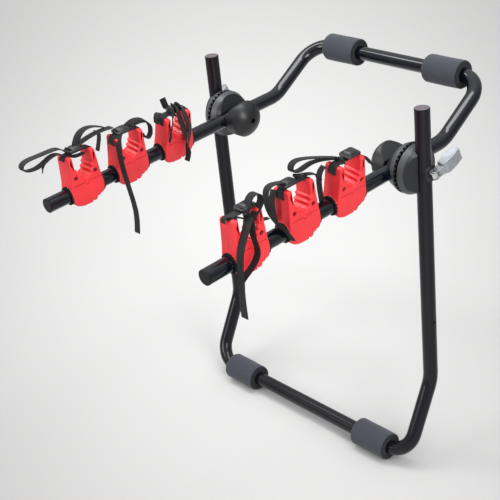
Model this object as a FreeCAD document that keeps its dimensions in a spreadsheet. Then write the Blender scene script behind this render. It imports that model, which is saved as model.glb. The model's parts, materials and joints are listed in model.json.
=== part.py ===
import FreeCAD, Part
import Sketcher
import math
import os

from FreeCAD import Placement, Rotation, Vector

os.makedirs("parts", exist_ok=True)
doc = FreeCAD.newDocument("bike_rack")
sheet = doc.addObject("Spreadsheet::Sheet", "sizes")


class Size:
    """A number together with the sheet formula that gives it."""

    def __init__(self, value, formula):
        self.value = float(value)
        self.formula = formula

    def __add__(self, other):
        return Size(self.value + number(other), "(%s + %s)" % (self.formula, formula(other)))

    def __radd__(self, other):
        return Size(number(other) + self.value, "(%s + %s)" % (formula(other), self.formula))

    def __sub__(self, other):
        return Size(self.value - number(other), "(%s - %s)" % (self.formula, formula(other)))

    def __rsub__(self, other):
        return Size(number(other) - self.value, "(%s - %s)" % (formula(other), self.formula))

    def __mul__(self, other):
        return Size(self.value * number(other), "(%s * %s)" % (self.formula, formula(other)))

    def __rmul__(self, other):
        return Size(number(other) * self.value, "(%s * %s)" % (formula(other), self.formula))

    def __truediv__(self, other):
        return Size(self.value / number(other), "(%s / %s)" % (self.formula, formula(other)))

    def __neg__(self):
        return Size(-self.value, "(0 - %s)" % self.formula)


def number(item):
    return item.value if isinstance(item, Size) else float(item)


def formula(item):
    if isinstance(item, Size):
        return item.formula
    return "%.5f" % item if item >= 0 else "(0 - %.5f)" % -item


def sine(angle):
    return Size(math.sin(math.radians(number(angle))), "sin(%s * 1 deg)" % formula(angle))


def cosine(angle):
    return Size(math.cos(math.radians(number(angle))), "cos(%s * 1 deg)" % formula(angle))


def tangent(angle):
    return Size(math.tan(math.radians(number(angle))), "tan(%s * 1 deg)" % formula(angle))


# Driving dimensions, in millimetres and degrees
DIMENSIONS = [
    ("tube_diameter", 25.4),
    ("tube_wall", 1.5),
    ("post_offset", 250.0),
    ("post_rise", 105.0),
    ("post_drop", 392.0),
    ("post_bend", 28.0),
    ("foot_leg", 145.0),
    ("foot_corner", 42.0),
    ("post_lean", 3.0),
    ("arm_offset", 202.0),
    ("arm_reach", 420.0),
    ("arm_behind", 107.0),
    ("arm_bend", 30.0),
    ("riser_leg", 133.0),
    ("riser_corner", 46.0),
    ("bend_radius", 60.0),
    ("post_hole_drop", 274.0),
    ("bolt_diameter", 8.0),
    ("bolt_hole", 8.6),
    ("cap_plate", 2.5),
    ("plug_depth", 12.0),
    ("pad_diameter", 50.0),
    ("pad_length", 76.0),
    ("lower_pad_place", 172.0),
    ("upper_pad_place", 121.0),
    ("piece_gap", 0.3),
    ("hub_radius", 42.4),
    ("hub_rim", 13.0),
    ("hub_lip", 15.0),
    ("hub_band", 6.0),
    ("hub_shoulder", 35.0),
    ("root_gap", 7.4),
    ("tooth_height", 3.0),
    ("tooth_inner", 31.0),
    ("clamp_radius", 33.5),
    ("clamp_face", 9.0),
    ("clamp_facet", 20.0),
    ("clamp_rim", 3.0),
    ("clamp_dome", 19.0),
    ("nut_width", 13.0),
    ("nut_height", 6.5),
    ("saddle_radius", 14.0),
    ("saddle_crest", 1.9),
    ("eye_radius", 6.3),
    ("lever_reach", 57.0),
    ("lever_width", 14.0),
    ("lever_grip", 22.0),
    ("lever_plate", 1.8),
    ("lever_tilt", 20.0),
    ("pin_diameter", 6.0),
    ("cradle_thickness", 34.0),
    ("cradle_half", 33.0),
    ("horn_top", 69.0),
    ("horn_half", 27.5),
    ("notch_half", 17.5),
    ("notch_floor", 25.5),
    ("cradle_base", 21.5),
    ("seam_height", 20.0),
    ("screw_spread", 19.8),
    ("screw_height", 31.0),
    ("low_screw_place", 8.6),
    ("low_screw_drop", 17.6),
    ("bush_wall", 1.8),
    ("bush_slack", 0.08),
    ("bush_collar", 16.3),
    ("left_front_place", 72.9),
    ("left_middle_place", 169.5),
    ("left_rear_place", 271.7),
    ("right_front_place", 79.1),
    ("right_middle_place", 185.7),
    ("right_rear_place", 286.9),
    ("left_middle_turn", 7.0),
    ("left_rear_turn", 13.5),
    ("right_rear_turn", 9.0),
    ("strap_width", 15.0),
    ("strap_gauge", 1.6),
    ("buckle_length", 30.0),
    ("buckle_width", 24.0),
]
SIZES = {}
for row, (alias, value) in enumerate(DIMENSIONS, start=1):
    sheet.set("A%d" % row, alias)
    sheet.set("B%d" % row, "%g" % value)
    sheet.setAlias("B%d" % row, alias)
    SIZES[alias] = Size(value, "sizes." + alias)
doc.recompute()


def size(alias):
    return SIZES[alias]


TUBE_R = size("tube_diameter") / 2
LEAN_SIN = sine(size("post_lean"))
LEAN_COS = cosine(size("post_lean"))


def leaned(point):
    """Turns a point of the lower frame's own axes into build axes."""
    x, y, z = point
    return (x, y * LEAN_COS + z * LEAN_SIN, z * LEAN_COS - y * LEAN_SIN)


# Where the lower bar lies from the hub axis, and the hub axis from the row's origin
FOOT_Y = -(size("foot_leg") * sine(size("post_bend")))
FOOT_Z = -(size("post_drop") + size("foot_leg") * cosine(size("post_bend")))
HUB_Y = -leaned((0, FOOT_Y, FOOT_Z))[1] - size("pad_diameter") / 2
HUB_Z = -leaned((0, FOOT_Y, FOOT_Z))[2]
SEAM = (size("post_offset") + size("arm_offset")) / 2


# Helpers for bodies, sketches and features
def new_body(name, base=(0, 0, 0), turn=None):
    """Adds a body. Its base is given from the middle of the hub axis."""
    body = doc.addObject("PartDesign::Body", name)
    body.Label = name
    seat(body, base, turn)
    return body


def seat(body, base, turn=None, rotation=None):
    """Puts a body at its place, moved so that the row's origin is at the car rest."""
    place(body, "Placement", (base[0], base[1] + HUB_Y, base[2] + HUB_Z), turn)
    if rotation is not None:
        body.Placement = Placement(body.Placement.Base, rotation)


def place(item, prop, base, turn=None):
    spot = Vector(number(base[0]), number(base[1]), number(base[2]))
    rotation = Rotation()
    if turn is not None:
        axis, angle = turn
        rotation = Rotation(Vector(*axis), number(angle))
    setattr(item, prop, Placement(spot, rotation))
    for letter, part in zip("xyz", base):
        if isinstance(part, Size):
            item.setExpression("%s.Base.%s" % (prop, letter), part.formula)
    if turn is not None and isinstance(turn[1], Size):
        item.setExpression("%s.Rotation.Angle" % prop, turn[1].formula + " * 1 deg")


def origin_part(body, role):
    for feature in body.Origin.OriginFeatures:
        if feature.Role == role:
            return feature
    raise ValueError(role)


def new_sketch(body, name, plane, base=(0, 0, 0), turn=None):
    sketch = body.newObject("Sketcher::SketchObject", name)
    sketch.AttachmentSupport = [(origin_part(body, plane), "")]
    sketch.MapMode = "FlatFace"
    place(sketch, "AttachmentOffset", base, turn)
    return sketch


def limit(sketch, kind, *args):
    """Adds one constraint whose last argument is a number or a Size."""
    *where, amount = args
    index = sketch.addConstraint(Sketcher.Constraint(kind, *where, number(amount)))
    if isinstance(amount, Size):
        text = amount.formula
        if kind == "Angle":
            text += " * 1 deg"
        sketch.setExpression("Constraints[%d]" % index, text)


def fix_point(sketch, geometry, end, point):
    limit(sketch, "DistanceX", -1, 1, geometry, end, point[0])
    limit(sketch, "DistanceY", -1, 1, geometry, end, point[1])


def circle(sketch, centre, radius):
    spot = Vector(number(centre[0]), number(centre[1]), 0)
    index = sketch.addGeometry(Part.Circle(spot, Vector(0, 0, 1), number(radius)))
    fix_point(sketch, index, 3, centre)
    limit(sketch, "Radius", index, radius)
    return index


def polygon(sketch, points):
    """Draws a closed outline with every corner held at its place."""
    count = len(points)
    spots = [Vector(number(x), number(y), 0) for x, y in points]
    first = None
    for step in range(count):
        line = Part.LineSegment(spots[step], spots[(step + 1) % count])
        index = sketch.addGeometry(line)
        if first is None:
            first = index
    for step in range(count):
        after = first + (step + 1) % count
        sketch.addConstraint(Sketcher.Constraint("Coincident", first + step, 2, after, 1))
    for step in range(count):
        fix_point(sketch, first + step, 1, points[step])
    return first


def path(sketch, points, radii):
    """Draws an open run of lines with a round bend at each inner corner."""
    spots = [Vector(number(x), number(y), 0) for x, y in points]
    starts = []
    ends = []
    bends = []
    for step in range(1, len(spots) - 1):
        before = (spots[step - 1] - spots[step]).normalize()
        after = (spots[step + 1] - spots[step]).normalize()
        half = before.getAngle(after) / 2
        radius = number(radii[step - 1])
        ends.append(spots[step] + before * (radius / math.tan(half)))
        starts.append(spots[step] + after * (radius / math.tan(half)))
        middle = (before + after).normalize() * (radius / math.sin(half))
        bends.append(spots[step] + middle)
    begin = [spots[0]] + starts
    finish = ends + [spots[-1]]
    lines = []
    for first, last in zip(begin, finish):
        lines.append(sketch.addGeometry(Part.LineSegment(first, last)))
    for step, centre in enumerate(bends):
        first = ends[step] - centre
        last = starts[step] - centre
        left_turn = first.cross(last).z > 0
        if not left_turn:
            first, last = last, first
        low = math.atan2(first.y, first.x)
        high = math.atan2(last.y, last.x)
        if high < low:
            high += 2 * math.pi
        ring = Part.Circle(centre, Vector(0, 0, 1), number(radii[step]))
        arc = sketch.addGeometry(Part.ArcOfCircle(ring, low, high))
        entry = 1 if left_turn else 2
        leave = 3 - entry
        sketch.addConstraint(Sketcher.Constraint("Tangent", lines[step], 2, arc, entry))
        sketch.addConstraint(Sketcher.Constraint("Tangent", lines[step + 1], 1, arc, leave))
        limit(sketch, "Radius", arc, radii[step])
        corner = sketch.addGeometry(Part.Point(spots[step + 1]), True)
        fix_point(sketch, corner, 1, points[step + 1])
        sketch.addConstraint(Sketcher.Constraint("PointOnObject", corner, 1, lines[step]))
        sketch.addConstraint(Sketcher.Constraint("PointOnObject", corner, 1, lines[step + 1]))
    fix_point(sketch, lines[0], 1, points[0])
    fix_point(sketch, lines[-1], 2, points[-1])


def set_size(feature, prop, amount):
    setattr(feature, prop, number(amount))
    if isinstance(amount, Size):
        feature.setExpression(prop, amount.formula)


def pad(body, name, sketch, length, both=False, back=False, taper=0):
    feature = body.newObject("PartDesign::Pad", name)
    feature.Profile = (sketch, [""])
    set_size(feature, "Length", length)
    if both:
        feature.SideType = "Symmetric"
    feature.Reversed = back
    feature.TaperAngle = taper
    return feature


def pocket(body, name, sketch, length=None, both=False, back=False):
    feature = body.newObject("PartDesign::Pocket", name)
    feature.Profile = (sketch, [""])
    if length is None:
        feature.Type = "ThroughAll"
    else:
        set_size(feature, "Length", length)
    if both:
        feature.SideType = "Symmetric"
    feature.Reversed = back
    return feature


def revolve(body, name, sketch, axis_role):
    feature = body.newObject("PartDesign::Revolution", name)
    feature.Profile = (sketch, [""])
    feature.ReferenceAxis = (origin_part(body, axis_role), [""])
    feature.Angle = 360.0
    return feature


def sweep(body, name, profile, spine):
    feature = body.newObject("PartDesign::AdditivePipe", name)
    feature.Profile = (profile, [""])
    feature.Spine = (spine, [])
    return feature


def round_edges(body, name, feature, radius, wanted, kind="Fillet"):
    """Rounds or bevels the edges of a feature whose middle point the test picks."""
    doc.recompute()
    edges = []
    for count, edge in enumerate(feature.Shape.Edges, start=1):
        middle = edge.valueAt((edge.FirstParameter + edge.LastParameter) / 2)
        if wanted(edge, middle):
            edges.append("Edge%d" % count)
    result = body.newObject("PartDesign::" + kind, name)
    result.Base = (feature, edges)
    if kind == "Fillet":
        result.Radius = radius
    else:
        result.Size = radius
    return result


# Bent tube frames: two straight legs, a press bend, and a U that joins them
def bent_frame(body, offset, free, drop, bend, leg, corner):
    start = 40.0
    lead_y = -(start * sine(bend))
    lead_z = -(drop + start * cosine(bend))
    rim = new_sketch(body, "u_rim", "XY_Plane", (0, lead_y, lead_z), ((-1, 0, 0), bend))
    circle(rim, (offset, 0), TUBE_R)
    circle(rim, (offset, 0), TUBE_R - size("tube_wall"))
    run = new_sketch(body, "u_run", "XZ_Plane", (0, -drop, 0), ((-1, 0, 0), bend))
    corners = [(offset, -start), (offset, -leg), (-offset, -leg), (-offset, -start)]
    path(run, corners, [corner, corner])
    sweep(body, "u_tube", rim, run)
    for side, name in ((1, "right"), (-1, "left")):
        ring = new_sketch(body, name + "_rim", "XY_Plane", (0, 0, free))
        circle(ring, (offset * side, 0), TUBE_R)
        circle(ring, (offset * side, 0), TUBE_R - size("tube_wall"))
        leg_run = new_sketch(body, name + "_run", "YZ_Plane", (0, 0, offset * side))
        path(leg_run, [(0, free), (0, -drop), (lead_y, lead_z)], [size("bend_radius")])
        sweep(body, name + "_tube", ring, leg_run)
    holes = new_sketch(body, "hub_holes", "YZ_Plane")
    circle(holes, (0, 0), size("bolt_hole") / 2)
    pocket(body, "hub_bore", holes, 2 * offset + 60, both=True)


LEAN = ((-1, 0, 0), size("post_lean"))

lower_frame = new_body("lower_frame", (0, 0, 0), LEAN)
bent_frame(lower_frame, size("post_offset"), size("post_rise"), size("post_drop"),
           size("post_bend"), size("foot_leg"), size("foot_corner"))
pin_holes = new_sketch(lower_frame, "pin_holes", "YZ_Plane")
circle(pin_holes, (0, -size("post_hole_drop")), 2.5)
pocket(lower_frame, "pin_bore", pin_holes, 2 * size("post_offset") + 60, both=True)

# The upper frame's own Z runs along the arms towards their free ends
ARM_TURN = Rotation(Vector(-1, 0, 0), Vector(0, 0, -1), Vector(0, -1, 0), "ZXY")
upper_frame = new_body("upper_frame")
seat(upper_frame, (0, 0, 0), None, ARM_TURN)
bent_frame(upper_frame, size("arm_offset"), size("arm_reach"), size("arm_behind"),
           size("arm_bend"), size("riser_leg"), size("riser_corner"))


# End plugs: a flat plate on the tube's end with a spigot inside it
def end_plug(name, base, turn=None):
    body = new_body(name, base, turn)
    plate = new_sketch(body, "plate", "XY_Plane", (0, 0, size("piece_gap") / 6))
    circle(plate, (0, 0), TUBE_R)
    top = pad(body, "plate_pad", plate, size("cap_plate"))
    spigot = new_sketch(body, "spigot", "XY_Plane", (0, 0, size("piece_gap") / 6))
    circle(spigot, (0, 0), TUBE_R - size("tube_wall") - 0.15)
    pad(body, "spigot_pad", spigot, size("plug_depth"), back=True)
    last = body.Tip
    high = number(size("cap_plate"))
    round_edges(body, "plate_edge", last, 0.7, lambda edge, spot: spot.z > high, "Chamfer")
    return body


for side, word in ((1, "right"), (-1, "left")):
    spot = leaned((size("post_offset") * side, 0, size("post_rise")))
    end_plug("post_plug_" + word, spot, LEAN)
    tip = (size("arm_offset") * side, -size("arm_reach"), 0)
    end_plug("arm_plug_" + word, tip, ((1, 0, 0), 90))


# Foam pads on the two cross bars
def foam_pad(name, base, turn):
    body = new_body(name, base, turn)
    ring = new_sketch(body, "ring", "YZ_Plane")
    circle(ring, (0, 0), size("pad_diameter") / 2)
    circle(ring, (0, 0), TUBE_R + size("piece_gap"))
    sleeve = pad(body, "sleeve", ring, size("pad_length"), both=True)
    outer = number(size("pad_diameter")) / 2 - 1
    test = lambda edge, spot: math.hypot(spot.y, spot.z) > outer and abs(spot.x) > 5
    round_edges(body, "soft_edge", sleeve, 2.5, test)
    return body


top_y = size("arm_behind") + size("riser_leg") * cosine(size("arm_bend"))
top_z = size("riser_leg") * sine(size("arm_bend"))
for side, word in ((1, "right"), (-1, "left")):
    low = leaned((size("lower_pad_place") * side, FOOT_Y, FOOT_Z))
    foam_pad("lower_pad_" + word, low, LEAN)
    high = (size("upper_pad_place") * side, top_y, top_z)
    foam_pad("upper_pad_" + word, high, None)


# Toothed hub halves, drawn apart as they are while the levers stand open
TEETH = 32
TOOTH_HALF = 3.6
TOOTH_SLOPE = 22


def ring_of_teeth(body, phase, start, back):
    wide = TOOTH_HALF
    outer = size("hub_radius") - 0.2
    inner = size("tooth_inner")
    tooth = new_sketch(body, "tooth", "YZ_Plane", (0, 0, start))
    corners = []
    for radius, angle in ((inner, -wide), (outer, -wide), (outer, wide), (inner, wide)):
        corners.append((radius * cosine(phase + angle), radius * sine(phase + angle)))
    polygon(tooth, corners)
    first = pad(body, "tooth_pad", tooth, size("tooth_height"), back=back, taper=-TOOTH_SLOPE)
    ring = body.newObject("PartDesign::PolarPattern", "teeth")
    ring.Originals = [first]
    ring.Axis = (origin_part(body, "X_Axis"), [""])
    ring.Angle = 360
    ring.Occurrences = TEETH
    body.Tip = ring
    doc.recompute()


def hub_half(name, turn, side, way, centre, start, saddle_plane):
    """One half of a hub: a disc with a saddle for the tube at centre.

    Side is +1 for the right hub. Way is +1 for the half that faces outwards.
    """
    body = new_body(name, (0, 0, 0), turn)
    radius = size("hub_radius")
    band = SEAM + size("hub_band") * way
    hole = size("bolt_hole") / 2
    disc = new_sketch(body, "disc", "XY_Plane")
    polygon(disc, [(start * side, hole), (start * side, radius), (band * side, radius),
                   (centre * side, size("hub_shoulder")), (centre * side, hole)])
    revolve(body, "disc_turn", disc, "X_Axis")
    cut = new_sketch(body, "facets", saddle_plane)
    edge = (SEAM + size("hub_rim") * way) * side
    lip = centre * side
    past = (centre + 6.0 * way) * side
    for up in (1, -1):
        polygon(cut, [(edge, radius * up), (lip, size("hub_lip") * up),
                      (past, size("hub_lip") * up), (past, (radius + 6) * up),
                      (edge, (radius + 6) * up)])
    pocket(body, "facet_cut", cut, 2 * radius + 20, both=True)
    bore = new_sketch(body, "saddle", saddle_plane)
    circle(bore, (lip, 0), TUBE_R + size("piece_gap"))
    pocket(body, "saddle_cut", bore, 2 * radius + 20, both=True)
    return body


for side, word in ((1, "right"), (-1, "left")):
    root = SEAM + size("root_gap") / 2
    outer = hub_half("post_half_" + word, LEAN, side, 1, size("post_offset"), root,
                     "XY_Plane")
    ring_of_teeth(outer, 0.0, root * side, side > 0)
    root = SEAM - size("root_gap") / 2
    inner = hub_half("arm_half_" + word, None, side, -1, size("arm_offset"), root,
                     "XZ_Plane")
    ring_of_teeth(inner, 180.0 / TEETH - size("post_lean"), root * side, side < 0)


def hub_turn(side):
    return None if side > 0 else ((0, 0, 1), 180)


# Domed clamp caps on the inner side of each arm tube
clamp_face = size("arm_offset") - size("clamp_face")
clamp_edge = clamp_face - size("clamp_facet") - size("clamp_rim")
clamp_tip = clamp_edge - size("clamp_dome")
nut_place = size("arm_offset") - TUBE_R - 1.6 - size("nut_height")
for side, word in ((1, "right"), (-1, "left")):
    body = new_body("clamp_cap_" + word, (0, 0, 0), hub_turn(side))
    radius = size("clamp_radius")
    shell = new_sketch(body, "profile", "XY_Plane")
    marks = [(clamp_tip, 0), (clamp_face, 0), (clamp_face, radius), (clamp_edge, radius)]
    spots = [Vector(number(x), number(y), 0) for x, y in marks]
    for step in range(3):
        shell.addGeometry(Part.LineSegment(spots[step], spots[step + 1]))
        fix_point(shell, step, 1, marks[step])
    rise = size("clamp_dome")
    bulge = (radius * radius + rise * rise) / (2 * rise)
    centre = Vector(number(clamp_tip + bulge), 0, 0)
    ring = Part.Circle(centre, Vector(0, 0, 1), number(bulge))
    low = math.atan2(spots[3].y, spots[3].x - centre.x)
    arc = shell.addGeometry(Part.ArcOfCircle(ring, low, math.pi))
    shell.addConstraint(Sketcher.Constraint("Coincident", 0, 2, 1, 1))
    shell.addConstraint(Sketcher.Constraint("Coincident", 1, 2, 2, 1))
    shell.addConstraint(Sketcher.Constraint("Coincident", 2, 2, arc, 1))
    shell.addConstraint(Sketcher.Constraint("Coincident", arc, 2, 0, 1))
    fix_point(shell, arc, 1, marks[3])
    shell.addConstraint(Sketcher.Constraint("PointOnObject", arc, 3, -1))
    revolve(body, "dome", shell, "X_Axis")
    cut = new_sketch(body, "facets", "XZ_Plane")
    edge = clamp_face - size("clamp_facet")
    for way in (1, -1):
        polygon(cut, [(edge, radius * way), (clamp_face, size("hub_lip") * way),
                      (clamp_face + 6, size("hub_lip") * way),
                      (clamp_face + 6, (radius + 6) * way), (edge, (radius + 6) * way)])
    pocket(body, "facet_cut", cut, 2 * radius + 20, both=True)
    bore = new_sketch(body, "saddle", "XZ_Plane")
    circle(bore, (size("arm_offset"), 0), TUBE_R + size("piece_gap"))
    pocket(body, "saddle_cut", bore, 2 * radius + 20, both=True)
    hole = new_sketch(body, "bolt_hole", "YZ_Plane", (0, 0, clamp_tip - 5))
    circle(hole, (0, 0), size("bolt_hole") / 2 + 0.7)
    pocket(body, "bolt_bore", hole, size("clamp_radius") * 2, back=True)
    hollow = new_sketch(body, "nut_seat", "YZ_Plane", (0, 0, nut_place - 0.3))
    flat = (size("nut_width") / 2 + 0.3) / math.cos(math.radians(30))
    turns = [math.radians(60 * step) for step in range(6)]
    polygon(hollow, [(flat * math.cos(turn), flat * math.sin(turn)) for turn in turns])
    pocket(body, "nut_cut", hollow, 20.0, back=True)

# Nuts, bolts and washers: one node each, as both are the same fastener on one body
eye_place = size("post_offset") + TUBE_R + size("saddle_crest") + size("eye_radius") + 0.5


def mirror_across(body):
    """Adds the left-hand twin of everything in the body."""
    doc.recompute()
    twin = body.newObject("PartDesign::Mirrored", "twin")
    twin.TransformMode = "Whole shape"
    twin.MirrorPlane = (origin_part(body, "YZ_Plane"), [""])
    body.Tip = twin


def hex_nuts(name):
    body = new_body(name)
    body.AllowCompound = True
    shape = new_sketch(body, "hexagon", "YZ_Plane", (0, 0, nut_place))
    flat = size("nut_width") / 2 / math.cos(math.radians(30))
    turns = [math.radians(60 * step) for step in range(6)]
    polygon(shape, [(flat * math.cos(turn), flat * math.sin(turn)) for turn in turns])
    circle(shape, (0, 0), size("bolt_diameter") / 2 + 0.05)
    pad(body, "nut_pad", shape, size("nut_height"))
    mirror_across(body)


def eye_bolts(name):
    body = new_body(name)
    body.AllowCompound = True
    rod = new_sketch(body, "rod", "YZ_Plane", (0, 0, clamp_edge - 4))
    circle(rod, (0, 0), size("bolt_diameter") / 2)
    pad(body, "rod_pad", rod, eye_place - clamp_edge + 4)
    tilt = ((1, 0, 0), size("lever_tilt"))
    knob = new_sketch(body, "knob", "XY_Plane", (0, 0, 0), tilt)
    circle(knob, (eye_place, 0), size("eye_radius") - 0.6)
    wide = size("lever_width") - 2 * size("lever_plate") - 1.0
    pad(body, "knob_pad", knob, wide, both=True)
    hole = new_sketch(body, "hole", "XY_Plane", (0, 0, 0), tilt)
    circle(hole, (eye_place, 0), size("pin_diameter") / 2 + 0.08)
    pocket(body, "hole_cut", hole, 40.0, both=True)
    mirror_across(body)


def saddle_washers(name):
    body = new_body(name, (0, 0, 0), LEAN)
    body.AllowCompound = True
    face = size("post_offset") + TUBE_R + size("saddle_crest")
    disc = new_sketch(body, "disc", "YZ_Plane", (0, 0, face))
    circle(disc, (0, 0), size("saddle_radius"))
    circle(disc, (0, 0), size("bolt_hole") / 2)
    pad(body, "disc_pad", disc, size("saddle_crest") + 8.0, back=True)
    bore = new_sketch(body, "saddle", "XY_Plane", (0, 0, 0))
    circle(bore, (size("post_offset"), 0), TUBE_R + size("piece_gap"))
    pocket(body, "saddle_cut", bore, 60.0, both=True)
    mirror_across(body)


hex_nuts("hub_nuts")
eye_bolts("hub_bolts")
saddle_washers("saddle_washers")


# Quick-release levers. Own Z is the pin, own Y runs along the handle
def cam_lever(name, base, turn, side):
    body = new_body(name, base, turn)
    reach = size("lever_reach")
    eye = new_sketch(body, "eye", "XY_Plane")
    circle(eye, (0, 0), size("eye_radius"))
    pad(body, "eye_pad", eye, size("lever_width"), both=True)
    neck = new_sketch(body, "neck", "XY_Plane")
    outline = [(-4.6, 1), (-3.4, reach * 0.36), (9.8, reach * 0.36), (8.6, reach * 0.2),
               (5.4, 2)]
    polygon(neck, [(x * side, y) for x, y in outline])
    pad(body, "neck_pad", neck, size("lever_width"), both=True)
    grip = new_sketch(body, "grip", "XY_Plane")
    outline = [(-4.0, reach * 0.3), (-4.6, reach * 0.62), (-1.5, reach - 5), (5.0, reach),
               (11.5, reach - 2), (13.0, reach * 0.62), (11.0, reach * 0.36),
               (6.0, reach * 0.28)]
    polygon(grip, [(x * side, y) for x, y in outline])
    pad(body, "grip_pad", grip, size("lever_grip"), both=True)
    inside = new_sketch(body, "inside", "XY_Plane")
    hollow = [(-12, -12), (-12, reach * 0.4), (7.0, reach * 0.4), (6.6, -12)]
    polygon(inside, [(x * side, y) for x, y in hollow])
    gap = size("lever_width") - 2 * size("lever_plate")
    pocket(body, "inside_cut", inside, gap, both=True)
    trough = new_sketch(body, "trough", "XY_Plane")
    hollow = [(-12, reach * 0.34), (-12, reach + 6), (2, reach + 6), (5.5, reach - 6),
              (10.8, reach * 0.62), (9.0, reach * 0.4), (6.0, reach * 0.34)]
    polygon(trough, [(x * side, y) for x, y in hollow])
    wide = size("lever_grip") - 2 * size("lever_plate")
    pocket(body, "trough_cut", trough, wide, both=True)
    hole = new_sketch(body, "hole", "XY_Plane")
    circle(hole, (0, 0), size("pin_diameter") / 2 + 0.3)
    pocket(body, "hole_cut", hole, 60.0, both=True)
    return body


def lever_pin(name, base, turn):
    body = new_body(name, base, turn)
    shaft = new_sketch(body, "shaft", "XY_Plane")
    circle(shaft, (0, 0), size("pin_diameter") / 2)
    pad(body, "shaft_pad", shaft, size("lever_width") + 1.6, both=True)
    return body


for side, word in ((1, "right"), (-1, "left")):
    spot = (eye_place * side, 0, 0)
    tilt = ((1, 0, 0), size("lever_tilt"))
    cam_lever("cam_lever_" + word, spot, tilt, side)
    lever_pin("lever_pin_" + word, spot, tilt)

# Cradles: own Y runs along the arm, own Z is up, X is the thickness
HALF = size("cradle_half")
HORN = size("horn_half")
TOP = size("horn_top")
NOTCH = size("notch_half")
FLOOR = size("notch_floor")
BASE = size("cradle_base")


def shell_outline():
    """One shell's outline: scalloped foot, two horns, and a notch with undercut ledges."""
    ledges = [(NOTCH, FLOOR + 20), (NOTCH - 4, FLOOR + 18), (NOTCH - 2.5, FLOOR + 12),
              (NOTCH - 8, FLOOR + 10), (NOTCH - 6.5, FLOOR + 4.5), (NOTCH - 13, FLOOR + 2),
              (NOTCH - 14.5, FLOOR)]
    flank = [(HALF, -2), (HALF - 0.5, 9), (HORN + 2.6, 24), (HORN, TOP - 6)]
    horn = flank + [(HORN, TOP), (NOTCH, TOP)] + ledges
    foot = [(3.5, -BASE - 0.5), (3.5, -BASE + 2.8), (5.5, -BASE + 2.8), (6.5, -BASE),
            (11.5, -BASE), (14, -BASE + 3), (14.5, -BASE + 5.6), (19, -BASE + 5),
            (22, -BASE + 8), (HALF - 5, -BASE + 8.5)]
    heel = [(-HALF + 4, -BASE + 4), (-20, -BASE), (-13, -BASE - 1.5), (0, -BASE - 1)]
    return foot + horn + [(-x, z) for x, z in reversed(horn)] + heel


SHELL_HOLES = [(size("screw_spread"), size("screw_height")),
               (-size("screw_spread"), size("screw_height")),
               (size("low_screw_place"), -size("low_screw_drop"))]


def cradle_shell(name, way):
    """One half shell. Way is +1 for the shell on the arm's right, else -1."""
    body = new_body(name)
    thick = size("cradle_thickness") / 2
    outline = new_sketch(body, "outline", "YZ_Plane")
    polygon(outline, shell_outline())
    block = pad(body, "block", outline, thick, back=way < 0)
    top = number(TOP) - 0.5
    domes = lambda edge, spot: spot.z > top and abs(spot.x) > 1 and edge.Length > 10
    upright = lambda edge, spot: domes(edge, spot) and abs(edge.tangentAt(0).x) > 0.9
    round_edges(body, "horn_domes", block, 4.6, upright)
    corner = new_sketch(body, "corner", "XZ_Plane")
    polygon(corner, [((thick - 7) * way, -BASE - 1), ((thick + 1) * way, -BASE + 9),
                     ((thick + 1) * way, -BASE - 1)])
    pocket(body, "corner_cut", corner, 2 * HALF + 20, both=True)
    split = new_sketch(body, "split", "XZ_Plane")
    polygon(split, [(-1 * way, -BASE - 5), (0.1 * way, -BASE - 5), (0.1 * way, TOP + 5),
                    (-1 * way, TOP + 5)])
    pocket(body, "split_cut", split, 2 * HALF + 20, both=True)
    bore = new_sketch(body, "bore", "XZ_Plane")
    circle(bore, (0, 0), TUBE_R + 2 * size("bush_slack") + size("bush_wall"))
    pocket(body, "bore_cut", bore, 2 * HALF + 20, both=True)
    for word, end in (("front", 1), ("rear", -1)):
        mouth = new_sketch(body, word + "_mouth", "XZ_Plane", (0, 0, (HALF - 4.5) * end))
        circle(mouth, (0, 0), size("bush_collar") + 0.3)
        pocket(body, word + "_mouth_cut", mouth, 20.0, back=end > 0)
    holes = new_sketch(body, "holes", "YZ_Plane")
    for spot in SHELL_HOLES:
        circle(holes, spot, 1.9)
    pocket(body, "hole_cut", holes, 2 * thick + 10, both=True)
    sinks = new_sketch(body, "sinks", "YZ_Plane", (0, 0, (thick - 3.5) * way))
    for spot in SHELL_HOLES:
        circle(sinks, spot, 3.6)
    pocket(body, "sink_cut", sinks, 20.0, back=way > 0)
    line = new_sketch(body, "seam", "YZ_Plane", (0, 0, (thick - 0.7) * way))
    low = size("seam_height") - 0.4
    high = size("seam_height") + 0.4
    polygon(line, [(-HALF, low), (-4, low), (0, low - 3.5), (4, low), (HALF, low),
                   (HALF, high), (4, high), (0, high - 3.5), (-4, high), (-HALF, high)])
    pocket(body, "seam_cut", line, 20.0, back=way > 0)
    return body


def toothed_bush(name):
    body = new_body(name)
    inner = TUBE_R + size("bush_slack")
    outer = inner + size("bush_wall")
    sleeve = new_sketch(body, "sleeve", "XZ_Plane")
    circle(sleeve, (0, 0), outer)
    pad(body, "sleeve_pad", sleeve, 2 * HALF - 6, both=True)
    for word, end in (("front", 1), ("rear", -1)):
        collar = new_sketch(body, word + "_collar", "XZ_Plane", (0, 0, (HALF - 4.0) * end))
        circle(collar, (0, 0), size("bush_collar"))
        pad(body, word + "_collar_pad", collar, 5.5, back=end < 0)
    bore = new_sketch(body, "bore", "XZ_Plane")
    circle(bore, (0, 0), inner)
    pocket(body, "bore_cut", bore, 2 * HALF + 20, both=True)
    notch = new_sketch(body, "notch", "XZ_Plane")
    rim = size("bush_collar")
    polygon(notch, [(rim - 1.4, -0.6), (rim + 1, -1.7), (rim + 1, 1.7), (rim - 1.4, 0.6)])
    cut = pocket(body, "notch_cut", notch, 2 * HALF + 20, both=True)
    ring = body.newObject("PartDesign::PolarPattern", "notches")
    ring.Originals = [cut]
    ring.Axis = (origin_part(body, "Y_Axis"), [""])
    ring.Angle = 360
    ring.Occurrences = 18
    body.Tip = ring
    return body


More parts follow.
